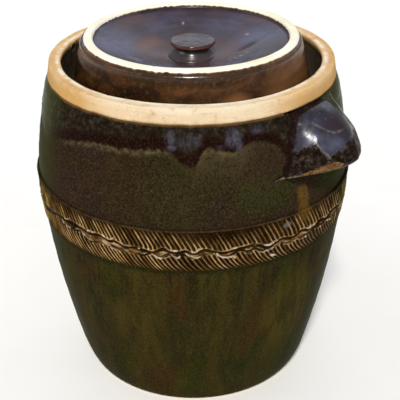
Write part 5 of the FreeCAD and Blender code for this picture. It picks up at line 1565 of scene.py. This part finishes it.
pot = pot_shell()
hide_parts("crock_body")
band = band_relief()
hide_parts("decor_band")
for label, node, turn, seed in (("lug_right", "handle_right", 0.0, 201), ("lug_left", "handle_left", math.pi, 233)):
    lug = handle(label, turn, seed)
    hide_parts(node)
lid = lid_cap()
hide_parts("lid")
knob = knob_cap()
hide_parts("lid_knob")
collar = collar_ring()
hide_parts("neck_collar")
for node in ("weight_half_front", "weight_half_back"):
    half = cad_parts[node]
    half.data.materials.clear()
    half.data.materials.append(PAINT["weight"])
    for face in half.data.polygons:
        face.use_smooth = True


# ------------------------------------------------------- floor, light, camera
def plain(name, colour, rough=0.8):
    p = Paint(name)
    soft = p.noise(6.0, 3.0)
    tone = p.mix(p.range(soft, 0.3, 0.7, 0.0, 1.0), colour, tuple(0.97 * c for c in colour))
    return p.finish(tone, rough, specular=0.1)


floor_mesh = bpy.data.meshes.new("floor")
floor_mesh.from_pydata([(-6, -6, 0), (6, -6, 0), (6, 6, 0), (-6, 6, 0)], [], [(0, 1, 2, 3)])
floor = bpy.data.objects.new("floor", floor_mesh)
bpy.context.collection.objects.link(floor)
floor_mesh.materials.append(plain("pale_floor", (0.90, 0.90, 0.89)))

scene = bpy.context.scene
world = bpy.data.worlds.new("studio")
scene.world = world
world.use_nodes = True
background = world.node_tree.nodes["Background"]
background.inputs[0].default_value = (0.88, 0.93, 1.0, 1.0)
background.inputs[1].default_value = 0.34


def lamp(name, azimuth, elevation, distance, size, power, colour, target=(0.0, 0.0, 0.16), tall=None):
    """A soft box at an azimuth from the facing side, aimed at the object."""
    data = bpy.data.lights.new(name, "AREA")
    data.shape = "RECTANGLE" if tall else "DISK"
    data.size = size
    if tall:
        data.size_y = tall
    data.energy = power
    data.color = colour
    ob = bpy.data.objects.new(name, data)
    bpy.context.collection.objects.link(ob)
    a, e = float(turn_of(azimuth)), math.radians(elevation)
    way = Vector((math.cos(a) * math.cos(e), math.sin(a) * math.cos(e), math.sin(e)))
    ob.location = Vector(target) + way * distance
    ob.rotation_euler = way.to_track_quat("Z", "Y").to_euler()
    return ob


sun = bpy.data.lights.new("key", "SUN")
sun.energy = 3.05
sun.angle = 0.16
sun.color = (1.0, 0.96, 0.90)
key = bpy.data.objects.new("key", sun)
bpy.context.collection.objects.link(key)
turn, lift = float(turn_of(-3.0)), math.radians(50.0)
key.rotation_euler = (
    Vector((math.cos(turn) * math.cos(lift), math.sin(turn) * math.cos(lift), math.sin(lift))).to_track_quat("Z", "Y").to_euler()
)
lamp("fill_left", -80.0, 30.0, 2.2, 0.9, 4.0, (1.0, 0.97, 0.92))
lamp("back_panel", 175.0, 34.0, 2.0, 2.2, 6.5, (0.80, 0.85, 1.0), tall=1.2)

data = bpy.data.cameras.new("camera")
data.sensor_width = 36.0
data.lens = 955.07 * 36.0 / 400.0
data.clip_start, data.clip_end = 0.05, 20.0
camera = bpy.data.objects.new("camera", data)
bpy.context.collection.objects.link(camera)
eye = np.array([6.106, -771.57, 568.95])
aim = np.array([6.106, 0.0, 149.80])
ahead = (aim - eye) / np.linalg.norm(aim - eye)
right = np.cross(ahead, (0, 0, 1.0))
right /= np.linalg.norm(right)
up = np.cross(right, ahead)
roll = math.radians(-0.495)
right, up = math.cos(roll) * right + math.sin(roll) * up, -math.sin(roll) * right + math.cos(roll) * up
spin = math.radians(90.0 - FACING)
spun = np.array([[math.cos(spin), -math.sin(spin), 0], [math.sin(spin), math.cos(spin), 0], [0, 0, 1]])
basis = np.stack([spun @ right, spun @ up, -(spun @ ahead)], 1)
place = Matrix.Identity(4)
for i in range(3):
    for k in range(3):
        place[i][k] = basis[i, k]
    place[i][3] = float((spun @ eye)[i]) * 0.001
camera.matrix_world = place
scene.camera = camera
scene.view_settings.view_transform = "Standard"
